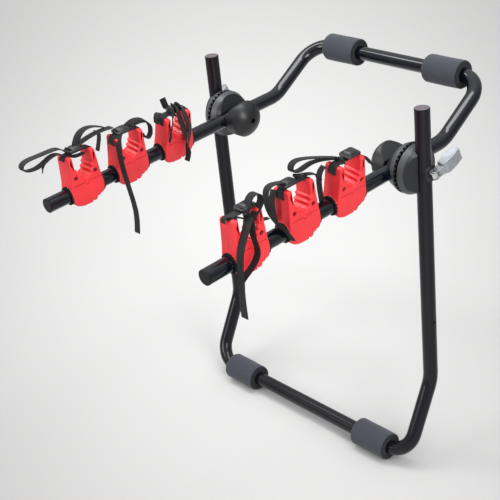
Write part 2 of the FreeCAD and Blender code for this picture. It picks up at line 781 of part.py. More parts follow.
def shell_screws(name):
    """The three screws that hold one cradle's shells together."""
    body = new_body(name)
    body.AllowCompound = True
    thick = size("cradle_thickness") / 2
    shanks = new_sketch(body, "shanks", "YZ_Plane", (0, 0, 0.5 - thick))
    for spot in SHELL_HOLES:
        circle(shanks, spot, 1.6)
    pad(body, "shank_pad", shanks, 2 * thick - 2.0)
    heads = new_sketch(body, "heads", "YZ_Plane", (0, 0, thick - 3.2))
    for spot in SHELL_HOLES:
        circle(heads, spot, 3.1)
    pad(body, "head_pad", heads, 1.8)
    return body


def strip(points, gauge):
    """Widens an open run of points into a closed outline of the given gauge."""
    spots = [Vector(number(x), number(y), 0) for x, y in points]
    left = []
    right = []
    for step, spot in enumerate(spots):
        before = spots[max(step - 1, 0)]
        after = spots[min(step + 1, len(spots) - 1)]
        if step in (0, len(spots) - 1):
            way = (after - before).normalize()
            shift = Vector(-way.y, way.x, 0) * (gauge / 2)
        else:
            one = (spot - before).normalize()
            two = (after - spot).normalize()
            across = Vector(-one.y - two.y, one.x + two.x, 0).normalize()
            normal = Vector(-one.y, one.x, 0)
            shift = across * (gauge / 2 / max(across.dot(normal), 0.35))
        x, y = points[step]
        left.append((x + shift.x, y + shift.y))
        right.append((x - shift.x, y - shift.y))
    return left + right[::-1]


OVER = TOP + 1.2
SIDE = HORN + 4.2
END = HALF + 4.4
BAND = [(-SIDE, 44), (-HORN - 1.6, TOP - 8), (-HORN - 1.3, TOP - 3),
        (-HORN + 0.2, TOP - 0.2), (-HORN + 3, OVER), (-HORN + 12, OVER + 0.4),
        (HORN - 12, OVER + 0.4), (HORN - 3, OVER), (HORN - 0.2, TOP - 0.2),
        (HORN + 1.3, TOP - 3), (HORN + 1.6, TOP - 8), (SIDE, 46)]
STRAPS = {
    "left_front": [(-92, 60), (-84, 73), (-60, OVER + 4), (-HORN + 2, OVER)] + BAND[5:],
    "left_middle": [(-END, 18), (-END, 30)] + BAND,
    "left_rear": BAND + [(END, 30), (END, 18)],
    "right_front": [(-END, 16), (-END, 30)] + BAND + [(END, 30), (END, 18)],
    "right_middle": [(-END, 18), (-END, 30)] + BAND,
    "right_rear": [(-END, 16), (-END, 30)] + BAND + [(END, 30), (END, 22)],
}
# Tails that hang past the arm: which end of the band, and how far down they reach
TAILS = {"left_middle": (-1, -72), "left_rear": (1, -24), "right_front": (1, -76),
         "right_middle": (-1, -10)}
BUCKLES = {
    "left_front": (-2, 0), "left_middle": (-6, 0), "left_rear": (4, 0),
    "right_front": (10, 0), "right_middle": (-12, 0), "right_rear": (10, 0),
}


def strap(name, key):
    body = new_body(name)
    outline = new_sketch(body, "outline", "YZ_Plane")
    polygon(outline, strip(STRAPS[key], number(size("strap_gauge"))))
    pad(body, "band", outline, size("strap_width"), both=True)
    if key in TAILS:
        end, low = TAILS[key]
        half = size("strap_width") / 2
        near = TUBE_R + 1.8
        far = near + size("strap_width")
        face = END * end + size("strap_gauge") / 2
        tail = new_sketch(body, "tail_shape", "XZ_Plane", (0, 0, -face))
        polygon(tail, [(-half, 32), (half, 32), (far, 12), (far, low), (near, low),
                       (near, 10), (-half, 27)])
        pad(body, "tail", tail, size("strap_gauge"))
    return body


def ladder_buckle(name, key):
    """A ladder buckle: a raised frame with a cross bar, lying on the strap."""
    body = new_body(name)
    place_y, place_z = BUCKLES[key]
    half = size("buckle_length") / 2
    low = OVER + 0.4 + size("strap_gauge") / 2 + 0.3 + place_z
    side = new_sketch(body, "side", "YZ_Plane")
    polygon(side, [(place_y - half, low), (place_y + half, low), (place_y + half, low + 3),
                   (place_y + half - 5, low + 6.5), (place_y - half + 7, low + 7.5),
                   (place_y - half, low + 3.5)])
    pad(body, "block", side, size("buckle_width"), both=True)
    slots = new_sketch(body, "slots", "XY_Plane")
    wide = size("buckle_width") / 2 - 3.5
    for shift in (-6.5, 4.5):
        spot = place_y + shift
        polygon(slots, [(-wide, spot), (wide, spot), (wide, spot + 3.5), (-wide, spot + 3.5)])
    pocket(body, "slot_cut", slots, 400.0, both=True)
    return body


CRADLES = [("left_front", -1), ("left_middle", -1), ("left_rear", -1), ("right_front", 1),
           ("right_middle", 1), ("right_rear", 1)]
for key, side in CRADLES:
    group = [cradle_shell("cradle_inner_" + key, -side),
             cradle_shell("cradle_outer_" + key, side),
             toothed_bush("cradle_bush_" + key), shell_screws("cradle_screws_" + key),
             strap("strap_" + key, key), ladder_buckle("buckle_" + key, key)]
    middle = size(key + "_place") - size("arm_reach")
    turn = ((0, 1, 0), size(key + "_turn")) if key + "_turn" in SIZES else None
    for body in group:
        seat(body, (size("arm_offset") * side, middle, 0), turn)

doc.recompute()
bodies = [item for item in doc.Objects if item.TypeId == "PartDesign::Body"]
for item in doc.Objects:
    if "Invalid" in item.State or "Error" in item.State:
        raise RuntimeError("%s %s" % (item.Name, item.State))
for body in bodies:
    shape = body.Shape
    if shape.isNull() or not shape.isValid() or not shape.Solids:
        raise RuntimeError("bad shape " + body.Label)
    shape.exportStep("parts/%s.step" % body.Label)
print(len(bodies), "pieces written")
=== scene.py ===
"""Looks of a rear-mounted car bike rack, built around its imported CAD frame."""

import json
import logging
import math
from dataclasses import dataclass
from enum import Enum
from typing import ClassVar, Dict, List, Sequence, Tuple, Type, Union

import bpy
import numpy as np
from mathutils import Matrix, Vector
from mathutils.geometry import delaunay_2d_cdt

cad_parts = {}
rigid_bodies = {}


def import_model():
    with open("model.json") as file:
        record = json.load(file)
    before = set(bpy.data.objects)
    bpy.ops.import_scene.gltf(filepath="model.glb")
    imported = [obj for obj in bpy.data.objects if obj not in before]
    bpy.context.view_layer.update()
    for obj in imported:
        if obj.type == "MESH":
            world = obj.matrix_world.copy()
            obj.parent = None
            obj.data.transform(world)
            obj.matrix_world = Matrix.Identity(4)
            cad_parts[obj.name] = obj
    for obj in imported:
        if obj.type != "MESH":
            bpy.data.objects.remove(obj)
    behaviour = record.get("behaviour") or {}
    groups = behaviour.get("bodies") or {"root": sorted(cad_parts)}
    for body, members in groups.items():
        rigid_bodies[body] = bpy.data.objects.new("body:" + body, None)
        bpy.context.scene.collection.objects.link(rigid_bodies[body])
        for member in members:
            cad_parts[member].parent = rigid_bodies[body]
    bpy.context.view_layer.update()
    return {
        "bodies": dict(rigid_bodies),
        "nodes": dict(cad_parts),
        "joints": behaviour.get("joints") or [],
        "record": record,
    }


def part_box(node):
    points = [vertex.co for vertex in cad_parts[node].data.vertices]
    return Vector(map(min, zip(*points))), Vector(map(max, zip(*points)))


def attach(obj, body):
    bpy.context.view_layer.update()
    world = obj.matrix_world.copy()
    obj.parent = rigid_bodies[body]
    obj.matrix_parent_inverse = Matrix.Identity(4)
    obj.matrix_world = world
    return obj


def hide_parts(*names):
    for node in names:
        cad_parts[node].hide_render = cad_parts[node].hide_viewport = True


LOG = logging.getLogger("bike_rack")
MM = 0.001
Array = np.ndarray
Span = Tuple[float, float]
Colour = Tuple[float, float, float]
Faces = List[Tuple[int, ...]]
Socket = bpy.types.NodeSocket
Sockets = Dict[str, Socket]
Paint = Union[Colour, Socket]
Value = Union[float, Socket]


# Mesh tools

MOST_CUT = 0.45
FILL_ERROR = 1e-7


@dataclass
class Surface:
    """Points in millimetres, faces that index them, and one UV pair per point."""

    points: Array
    faces: Faces
    uv: Array = None

    def moved(self, turn: Array, shift: Sequence[float]) -> "Surface":
        """Returns a copy turned by a 3 x 3 matrix and then shifted.

        Args:
            turn: Rotation or mirror matrix.
            shift: Shift in millimetres.

        Returns:
            The new surface. A mirror matrix also flips the faces.
        """
        faces = self.faces
        if np.linalg.det(turn) < 0:
            faces = [face[::-1] for face in faces]
        return Surface(self.points @ turn.T + np.asarray(shift, float), faces, self.uv)


def joined(parts: Sequence[Surface]) -> Surface:
    """Joins surfaces into one.

    Args:
        parts: The surfaces.

    Returns:
        One surface with all their points and faces.
    """
    faces: Faces = []
    start = 0
    for part in parts:
        faces += [tuple(index + start for index in face) for face in part.faces]
        start += len(part.points)
    points = np.concatenate([part.points for part in parts])
    uvs = [np.zeros((len(p.points), 2)) if p.uv is None else p.uv for p in parts]
    return Surface(points, faces, np.concatenate(uvs))


def grid_faces(rows: int, columns: int, wrap_rows: bool, wrap_columns: bool) -> Faces:
    """Quads of a grid of points, row by row.

    Args:
        rows: Number of rows of points.
        columns: Number of points in a row.
        wrap_rows: Whether the last row joins the first.
        wrap_columns: Whether the last column joins the first.

    Returns:
        The quads as tuples of point numbers.
    """
    row = np.arange(rows if wrap_rows else rows - 1)
    column = np.arange(columns if wrap_columns else columns - 1)
    i, j = np.meshgrid(row, column, indexing="ij")
    i2, j2 = (i + 1) % rows, (j + 1) % columns
    quads = np.stack([i * columns + j, i * columns + j2, i2 * columns + j2,
                      i2 * columns + j], axis=-1)
    return [tuple(quad) for quad in quads.reshape(-1, 4).tolist()]


def rounded_outline(corners: Array, cut: Array, steps: int) -> Array:
    """Closed outline whose corners are quadratic curves.

    Each corner P with neighbours at distance cut along both sides, A and B, becomes
    (1 - t)^2 A + 2 t (1 - t) P + t^2 B.

    Args:
        corners: Corner points, n x 2, anticlockwise.
        cut: Distance from each corner at which its curve starts.
        steps: Points per corner.

    Returns:
        Outline points, (n * steps) x 2.
    """
    before = np.roll(corners, 1, axis=0) - corners
    after = np.roll(corners, -1, axis=0) - corners
    before_length = np.linalg.norm(before, axis=1)
    after_length = np.linalg.norm(after, axis=1)
    reach = np.minimum(cut, MOST_CUT * np.minimum(before_length, after_length))
    start = corners + before * (reach / before_length)[:, None]
    end = corners + after * (reach / after_length)[:, None]
    t = np.linspace(0, 1, steps)[None, :, None]
    curve = ((1 - t) ** 2 * start[:, None] + 2 * t * (1 - t) * corners[:, None]
             + t ** 2 * end[:, None])
    return curve.reshape(-1, 2)


def inward(outline: Array) -> Array:
    """Unit normals that point into a closed anticlockwise outline.

    Args:
        outline: Points, n x 2.

    Returns:
        Normals, n x 2.
    """
    along = np.roll(outline, -1, axis=0) - np.roll(outline, 1, axis=0)
    along /= np.linalg.norm(along, axis=1)[:, None]
    return np.stack([-along[:, 1], along[:, 0]], axis=1)


def inside(points: Array, outline: Array) -> Array:
    """Tells by the even-odd rule which points lie inside a closed outline.

    Args:
        points: Points, n x 2.
        outline: Outline, m x 2.

    Returns:
        A true or false value for each point.
    """
    x, y = points[:, None, 0], points[:, None, 1]
    ax, ay = outline[None, :, 0], outline[None, :, 1]
    bx, by = np.roll(outline, -1, axis=0).T[:, None, :]
    crosses = (ay > y) != (by > y)
    run = np.where(by == ay, 1.0, by - ay)
    at = ax + (y - ay) / run * (bx - ax)
    return (np.sum(crosses & (x < at), axis=1) % 2) == 1


def fill(loops: Sequence[Array]) -> Faces:
    """Triangles of a flat face with holes. The first loop is the outer one.

    Args:
        loops: Closed loops of points, each n x 2.

    Returns:
        Triangles that index the loops' points in order, anticlockwise.
    """
    points = np.concatenate(loops)
    edges = []
    start = 0
    for loop in loops:
        numbers = np.arange(len(loop)) + start
        edges += list(zip(numbers.tolist(), np.roll(numbers, -1).tolist()))
        start += len(loop)
    made = delaunay_2d_cdt([Vector(p) for p in points], edges, [], 0, FILL_ERROR)
    source = [origin[0] if origin else -1 for origin in made[3]]
    triangles = np.array([[source[v] for v in face] for face in made[2]])
    triangles = triangles[(triangles >= 0).all(axis=1)]
    middle = points[triangles].mean(axis=1)
    keep = inside(middle, loops[0])
    for loop in loops[1:]:
        keep &= ~inside(middle, loop)
    return [tuple(t) for t in triangles[keep].tolist()]


def lathe(profile: Array, around: int, axis: int = 0) -> Surface:
    """Turns a closed profile about an axis.

    A point is (along, radius cos a, radius sin a) for the angle a round the axis.

    Args:
        profile: Closed profile of (along, radius) pairs.
        around: Points round the axis.
        axis: 0 for X, 1 for Y.

    Returns:
        The closed surface.
    """
    cosine, sine = circle(around).T
    along = np.repeat(profile[:, :1], around, axis=1)
    points = np.stack([along, profile[:, 1:] * cosine, profile[:, 1:] * sine],
                      axis=-1).reshape(-1, 3)
    if axis == 1:
        points = points[:, [2, 0, 1]]
    return Surface(points, grid_faces(len(profile), around, True, True))


def smooth_path(points: Array, steps: int) -> Array:
    """Cubic B-spline that starts and ends at the first and last point.

    Args:
        points: Control points, n x d.
        steps: Points made per span.

    Returns:
        Points of the curve.
    """
    ends = np.concatenate([np.repeat(points[:1], 2, axis=0), points,
                           np.repeat(points[-1:], 2, axis=0)])
    t = np.linspace(0, 1, steps, endpoint=False)[:, None]
    weights = np.concatenate([(1 - t) ** 3, 3 * t ** 3 - 6 * t ** 2 + 4,
                              -3 * t ** 3 + 3 * t ** 2 + 3 * t + 1, t ** 3], axis=1) / 6
    spans = np.stack([ends[k:len(ends) - 3 + k] for k in range(4)], axis=1)
    curve = np.einsum("tk,skd->std", weights, spans).reshape(-1, points.shape[1])
    return np.concatenate([curve, points[-1:]])


def circle(count: int) -> Array:
    """Cosine and sine of count angles evenly round a circle, count x 2."""
    angle = np.linspace(0, 2 * math.pi, count, endpoint=False)
    return np.stack([np.cos(angle), np.sin(angle)], axis=1)


def unit(vectors: Array) -> Array:
    """Vectors scaled to length 1."""
    return vectors / np.linalg.norm(vectors, axis=-1, keepdims=True)


def carried_side(along: Array, pull: float = 0.3) -> Array:
    """Side direction of a band that is carried along its run and eased towards X.

    Each step takes the last side, makes it square to the run and adds a part of the X
    axis made square to the run, with the sign that turns it least.

    Args:
        along: Unit directions of the run, n x 3.
        pull: How strongly a step turns the side towards X.

    Returns:
        Unit side directions, n x 3.
    """
    flat = np.array([1.0, 0.0, 0.0])
    square = flat - (along @ flat)[:, None] * along
    side = np.empty_like(along)
    last = square[0]
    for step, way in enumerate(along):
        last = last - (last @ way) * way
        last = last / np.linalg.norm(last)
        turn = 1.0 if last @ square[step] >= 0 else -1.0
        last = last + pull * turn * square[step]
        last = last / np.linalg.norm(last)
        side[step] = last
    return side


# Finishes


class Nodes:
    """Short calls for adding and joining the nodes of one tree."""

    def __init__(self, tree: bpy.types.NodeTree) -> None:
        """Takes the tree to build in."""
        self.tree = tree

    @classmethod
    def of(cls, owner: bpy.types.ID) -> "Nodes":
        """Empties the node tree of a material or world and takes it."""
        owner.use_nodes = True
        owner.node_tree.nodes.clear()
        return cls(owner.node_tree)

    def add(self, kind: str, inputs: Dict = None, **settings) -> bpy.types.Node:
        """Adds a node.

        Args:
            kind: Node type name.
            inputs: Socket name or number to a value or to an output socket.
            settings: Attributes of the node.

        Returns:
            The node.
        """
        node = self.tree.nodes.new(kind)
        for key, value in settings.items():
            setattr(node, key, value)
        for key, value in (inputs or {}).items():
            socket = node.inputs[key]
            if isinstance(value, Socket):
                self.tree.links.new(value, socket)
            else:
                socket.default_value = value
        return node

    def group(self, tree: bpy.types.NodeTree, inputs: Dict) -> bpy.types.Node:
        """Adds a node that holds a group, with its inputs."""
        return self.add("ShaderNodeGroup", inputs, node_tree=tree)

    def noise(self, where: Socket, scale: Value, detail: float, rough: float = 0.5) -> Socket:
        """Adds a Noise Texture node and returns its height."""
        return self.add("ShaderNodeTexNoise", {"Vector": where, "Scale": scale,
                                               "Detail": detail, "Roughness": rough}).outputs[0]

    def math(self, operation: str, *values: Value) -> Socket:
        """Adds a Math node over values or sockets and returns its output."""
        node = self.add("ShaderNodeMath", dict(enumerate(values)), operation=operation)
        return node.outputs[0]

    def times(self, first: Value, second: Value) -> Socket:
        """The product of two values or sockets."""
        return self.math("MULTIPLY", first, second)

    def plus(self, first: Value, second: Value) -> Socket:
        """The sum of two values or sockets."""
        return self.math("ADD", first, second)

    def ramp(self, value: Socket, source: Span, target: Span = (0.0, 1.0),
             **settings) -> Socket:
        """Adds a Map Range node.

        Args:
            value: Output that it reads.
            source: Values where the ramp starts and ends.
            target: Values that it gives there.
            settings: Attributes of the node.

        Returns:
            The node's output.
        """
        limits = dict(zip(("From Min", "From Max", "To Min", "To Max"), source + target))
        return self.add("ShaderNodeMapRange", {"Value": value, **limits}, **settings).outputs[0]

    def mix(self, factor: Socket, first: Paint, second: Paint) -> Socket:
        """Adds a colour Mix node.

        Args:
            factor: Output that drives it.
            first: Colour or output at 0.
            second: Colour or output at 1.

        Returns:
            The mixed colour.
        """
        first, second = (p if isinstance(p, Socket) else (*p, 1.0) for p in (first, second))
        node = self.add("ShaderNodeMix", {0: factor, 6: first, 7: second}, data_type="RGBA")
        return node.outputs[2]

    def split(self, vector: Socket) -> Sequence[Socket]:
        """Adds a Separate XYZ node and returns its three outputs."""
        return self.add("ShaderNodeSeparateXYZ", {0: vector}).outputs

    def texture(self, word: str) -> Socket:
        """Adds a Texture Coordinate node and returns the output of that name."""
        return self.add("ShaderNodeTexCoord").outputs[word]

    def finish(self, shader: bpy.types.Node, kind: str = "ShaderNodeOutputMaterial") -> None:
        """Adds the tree's end and joins the shader to it."""
        self.add(kind, {0: shader.outputs[0]})


class Effect:
    """A shader group that finishes share.

    Each kind has its name, its inputs with their defaults (none for a vector) and its
    outputs, and adds its own nodes.
    """

    name: ClassVar[str] = ""
    inputs: ClassVar[Dict] = {"Vector": None}
    # For the zone groups, Mask is where a painted highlight goes and the second output where
    # painted shade goes.
    outputs: ClassVar[Tuple[str, ...]] = ("Mask", "Gap")

    def group(self) -> bpy.types.NodeTree:
        """Makes the group.

        Returns:
            Its node tree.
        """
        tree = bpy.data.node_groups.new(self.name, "ShaderNodeTree")
        for word, value in self.inputs.items():
            kind = "NodeSocketVector" if value is None else "NodeSocketFloat"
            socket = tree.interface.new_socket(word, in_out="INPUT", socket_type=kind)
            if value is not None:
                socket.default_value = value
        for word in self.outputs:
            tree.interface.new_socket(word, in_out="OUTPUT", socket_type="NodeSocketFloat")
        nodes = Nodes(tree)
        given = nodes.add("NodeGroupInput").outputs
        nodes.add("NodeGroupOutput", self.build(nodes, given))
        return tree

    def build(self, nodes: Nodes, given: Sockets) -> Sockets:
        """Adds the nodes between inputs and outputs.

        Args:
            nodes: Where to build.
            given: The group's inputs by name.

        Returns:
            Output name to the socket that feeds it.
        """
        raise NotImplementedError


@dataclass(frozen=True)
class Skin(Effect):
    """Fine skin of paint or moulded plastic: a height and a slow cloudy mask.

    Each of its noises has a detail and a roughness.
    """

    name = "surface_skin"
    inputs = {"Vector": None, "Scale": 500.0, "Cloud": 8.0}
    outputs = ("Height", "Mask")
    fine: Span = (3.0, 0.55)
    slow: Span = (4.0, 0.6)
    cloud: Span = (0.32, 0.68)

    def build(self, nodes: Nodes, given: Sockets) -> Sockets:
        """Two noises: a fine one for the height and a slow one for the mask."""
        slow = nodes.noise(given["Vector"], given["Cloud"], *self.slow)
        return {"Height": nodes.noise(given["Vector"], given["Scale"], *self.fine),
                "Mask": nodes.ramp(slow, self.cloud)}


@dataclass(frozen=True)
class Scuffs(Effect):
    """Sparse handling marks: thin streaks where a stretched noise passes its peak."""

    name = "handling_marks"
    inputs = {"Vector": None, "Amount": 1.0}
    outputs = ("Mask",)
    turn: Colour = (0.5, 0.3, 0.8)
    stretch: Colour = (90.0, 420.0, 160.0)
    peak: Span = (0.66, 0.74)
    patch_scale: float = 14.0
    patch: Span = (0.5, 0.62)
    detail: float = 2.0

    def build(self, nodes: Nodes, given: Sockets) -> Sockets:
        """The streaks' ramp times a slower patch ramp times the amount."""
        turned = nodes.add("ShaderNodeMapping", {"Vector": given["Vector"],
                                                 "Rotation": self.turn, "Scale": self.stretch})
        streak = nodes.noise(turned.outputs[0], 1.0, self.detail)
        patch = nodes.noise(given["Vector"], self.patch_scale, self.detail)
        both = nodes.times(nodes.ramp(streak, self.peak), nodes.ramp(patch, self.patch))
        return {"Mask": nodes.times(both, given["Amount"])}


@dataclass(frozen=True)
class Weave(Effect):
    """Narrow webbing: slanted ribs that change side at the middle, and thread ends.

    Places are in millimetres along and across the strap, rates in radians per millimetre.
    """

    name = "webbing_weave"
    inputs = {"Along": 0.0, "Across": 0.0}
    outputs = ("Height", "Mask")
    fold: float = 3.75
    rib_rate: float = 4.6
    rib_height: float = 0.5
    thread_rate: float = 9.0
    thread_height: float = 0.25

    def build(self, nodes: Nodes, given: Sockets) -> Sockets:
        """Height is the sine of the distance along plus the distance from the nearest
        fold, times the ribs' height, plus a finer sine across times the threads' height.
        """
        across = given["Across"]
        slant = nodes.plus(given["Along"], nodes.math("PINGPONG", across, self.fold))
        rib = nodes.math("SINE", nodes.times(slant, self.rib_rate))
        thread = nodes.math("SINE", nodes.times(across, self.thread_rate))
        height = nodes.plus(nodes.times(rib, self.rib_height),
                            nodes.times(thread, self.thread_height))
        # Mask follows the height: the webbing colour it drives is painted shade in the grooves and
        # painted highlight on the ribs.
        return {"Height": height, "Mask": nodes.plus(nodes.times(height, 0.5), 0.5)}


@dataclass(frozen=True)
class HubRims(Effect):
    """Rims of the toothed hubs, in metres from the frame's origin.

    Mask, where a painted highlight goes, rises to 1 along the ramp radius of the distance to
    the hub axis, where the object normal's |x| is low on the ramp side. The second output,
    painted shade at the seam, rises to 1 along the ramp gap of the distance to the seam
    between the rims, and covers the highlight there.
    """

    name = "hub_rims"
    axis: Span = (0.0701962, 0.5157520)
    seam: float = 0.226
    radius: Span = (0.0385, 0.0397)
    gap: Span = (0.0042, 0.0036)
    side: Span = (0.62, 0.5)

    def build(self, nodes: Nodes, given: Sockets) -> Sockets:
        """Ramps over the radius, the distance to the seam and the normal."""
        x, y, z = nodes.split(given["Vector"])
        across = nodes.math("SUBTRACT", y, self.axis[0])
        above = nodes.math("SUBTRACT", z, self.axis[1])
        square = nodes.plus(nodes.times(across, across), nodes.times(above, above))
        outer = nodes.ramp(nodes.math("SQRT", square), self.radius,
                           interpolation_type="SMOOTHSTEP")
        away = nodes.math("SUBTRACT", nodes.math("ABSOLUTE", x), self.seam)
        lean = nodes.math("ABSOLUTE", nodes.split(nodes.texture("Normal"))[0])
        return {"Mask": nodes.times(outer, nodes.ramp(lean, self.side)),
                "Gap": nodes.ramp(nodes.math("ABSOLUTE", away), self.gap)}


@dataclass(frozen=True)
class PostTops(Effect):
    """Top discs of the post plugs, the only caps this high: paler where they face up, a painted
    highlight, with a dark rim of painted shade.
    """

    name = "post_tops"
    height: Span = (0.600, 0.601)
    level: Span = (0.7, 0.9)
    rim: float = 0.7

    def build(self, nodes: Nodes, given: Sockets) -> Sockets:
        """Mask, the painted highlight, where the piece is high and faces up, and painted shade
        where it is high and doesn't.
        """
        high = nodes.ramp(nodes.split(given["Vector"])[2], self.height)
        flat = nodes.ramp(nodes.split(nodes.texture("Normal"))[2], self.level)
        # Painted shade on the sides of the top disc.
        rim = nodes.times(high, nodes.math("SUBTRACT", 1.0, flat))
        return {"Mask": nodes.times(high, flat), "Gap": nodes.times(rim, self.rim)}


@dataclass(frozen=True)
class FoamEndShade(Effect):
    """Painted shade on the cut ends of the foam rollers, which face along X: nearly black."""

    name = "foam_end_shade"
    facing: Span = (0.55, 0.85)
    dark: float = 0.85

    def build(self, nodes: Nodes, given: Sockets) -> Sockets:
        """Painted shade where the object normal points along X."""
        along = nodes.math("ABSOLUTE", nodes.split(nodes.texture("Normal"))[0])
        cut = nodes.ramp(along, self.facing, interpolation_type="SMOOTHSTEP")
        return {"Gap": nodes.times(cut, self.dark)}


class Effects:
    """The shader groups that several finishes share."""

    def __init__(self) -> None:
        """Builds the groups once."""
        self.skin, self.scuffs, self.weave = (kind().group() for kind in (Skin, Scuffs, Weave))
        self.zones = {kind: kind().group() for kind in (HubRims, PostTops, FoamEndShade)}


@dataclass(frozen=True)
class Finish:
    """A hard or foam finish whose colour, gloss and grain vary a little."""

    name: str
    colour: Colour
    worn: Colour
    roughness: float
    spread: float = 0.06
    metal: float = 0.0
    coat: float = 0.0
    coat_roughness: float = 0.1
    sheen: float = 0.0
    specular: float = 0.5
    # The zone group picks where the painted highlight colour and the painted shade colour below
    # go.
    zone: Type[Effect] = None
    highlight_colour: Colour = (0.1, 0.1, 0.1)
    zone_noise: Span = (0.3, 0.7)
    zone_specks: Span = (0.55, 1.0)
    shade_colour: Colour = (0.004, 0.004, 0.005)
    grain: float = 500.0
    depth: float = 0.00002
    cloud: float = 9.0
    cloud_shade: float = 0.82
    marks: float = 0.5
    marks_roughness: float = 0.2
    edge: float = 0.0
    edge_samples: int = 6

    def make(self, effects: Effects) -> bpy.types.Material:
        """Builds the material.

        Args:
            effects: The shared shader groups.

        Returns:
            The material.
        """
        material = bpy.data.materials.new(self.name)
        nodes = Nodes.of(material)
        where = nodes.texture("Object")
        skin = nodes.group(effects.skin, {"Vector": where, "Scale": self.grain,
                                          "Cloud": self.cloud})
        marks = nodes.group(effects.scuffs, {"Vector": where,
                                             "Amount": self.marks}).outputs["Mask"]
        shade = tuple(self.cloud_shade * part for part in self.colour)
        clouded = nodes.mix(skin.outputs["Mask"], shade, self.colour)
        colour = nodes.mix(marks, clouded, self.worn)
        if self.zone:
            zone = nodes.group(effects.zones[self.zone], {"Vector": where})
            colour = self.zoned(nodes, zone, skin.outputs["Height"], colour)
        rough = nodes.ramp(skin.outputs["Mask"], (0.0, 1.0),
                           (self.roughness - self.spread, self.roughness + self.spread))
        total = nodes.plus(rough, nodes.times(marks, self.marks_roughness))
        bump = nodes.add("ShaderNodeBump", {"Strength": 1.0, "Distance": self.depth,
                                            "Height": skin.outputs["Height"]})
        if self.edge > 0:
            soft = nodes.add("ShaderNodeBevel", {"Radius": self.edge * MM},
                             samples=self.edge_samples)
            nodes.tree.links.new(soft.outputs[0], bump.inputs["Normal"])
        nodes.finish(nodes.add("ShaderNodeBsdfPrincipled", {
            "Base Color": colour, "Roughness": total, "Normal": bump.outputs[0],
            "Metallic": self.metal, "Coat Weight": self.coat,
            "Coat Roughness": self.coat_roughness, "Sheen Weight": self.sheen,
            "Specular IOR Level": self.specular}))
        return material

    def zoned(self, nodes: Nodes, zone: bpy.types.Node, specks: Socket,
              base: Socket) -> Socket:
        """Lays a second colour, a painted highlight, over the part of the piece that its zone
        group's mask picks, and painted shade where its second output picks.

        Args:
            nodes: The tree.
            zone: The zone group's node.
            specks: Height of the skin, which speckles the painted highlight.
            base: The colour elsewhere.

        Returns:
            The mixed colour.
        """
        # Painted highlight where the zone's mask is, speckled; painted shade over it where the
        # second output is.
        speck = nodes.ramp(specks, self.zone_noise, self.zone_specks)
        amount = nodes.times(zone.outputs["Mask"], speck)
        over = nodes.mix(amount, base, self.highlight_colour)
        return nodes.mix(zone.outputs["Gap"], over, self.shade_colour)


@dataclass(frozen=True)
class WebbingFinish:
    """Woven black strap that reads its own UV map, which is in millimetres. Its colour is painted
    shade in the weave's grooves and painted highlight on its ribs.
    """

    name: str = "webbing_black"
    # low is painted shade in the weave's grooves, high is painted highlight on its ribs.
    low: Colour = (0.004, 0.004, 0.005)
    high: Colour = (0.017, 0.017, 0.020)
    roughness: float = 0.72
    specular: float = 0.3
    sheen: float = 0.06
    sheen_roughness: float = 0.5
    strength: float = 0.8
    depth: float = 0.00025
    grain: float = 900.0
    cloud: float = 30.0
    cloud_shade: float = 0.5

    def make(self, effects: Effects) -> bpy.types.Material:
        """Builds the material.

        Args:
            effects: The shared shader groups.

        Returns:
            The material.
        """
        material = bpy.data.materials.new(self.name)
        nodes = Nodes.of(material)
        along, across, _ = nodes.split(nodes.add("ShaderNodeUVMap", uv_map="UVMap").outputs[0])
        weave = nodes.group(effects.weave, {"Along": along, "Across": across})
        skin = nodes.group(effects.skin, {"Vector": nodes.texture("Object"),
                                          "Scale": self.grain, "Cloud": self.cloud})
        # Painted shade in the weave's grooves and painted highlight on its ribs, times the slow
        # cloud, which is tone that differs at random.
        cloud = nodes.times(skin.outputs["Mask"], 1.0 - self.cloud_shade)
        shade = nodes.times(weave.outputs["Mask"], nodes.plus(cloud, self.cloud_shade))
        bump = nodes.add("ShaderNodeBump", {"Strength": self.strength, "Distance": self.depth,
                                            "Height": weave.outputs["Height"]})
        nodes.finish(nodes.add("ShaderNodeBsdfPrincipled", {
            "Base Color": nodes.mix(shade, self.low, self.high),
            "Roughness": self.roughness, "Normal": bump.outputs[0],
            "Sheen Weight": self.sheen, "Sheen Roughness": self.sheen_roughness,
            "Specular IOR Level": self.specular}))
        return material


class Slot(Enum):
    """The record's material slots."""

    SATIN = "satin_black_paint"
    GLOSS = "gloss_black_paint"
    CAP = "black_cap"
    FOAM = "foam"
    HUB = "hub_plastic"
    WASHER = "washer_plastic"
    ZINC = "zinc"
    BRIGHT = "bright_steel"
    RED = "red_plastic"
    RUBBER = "black_rubber"
    SCREW = "screw_steel"
    WEBBING = "webbing"
    BUCKLE = "buckle_plastic"


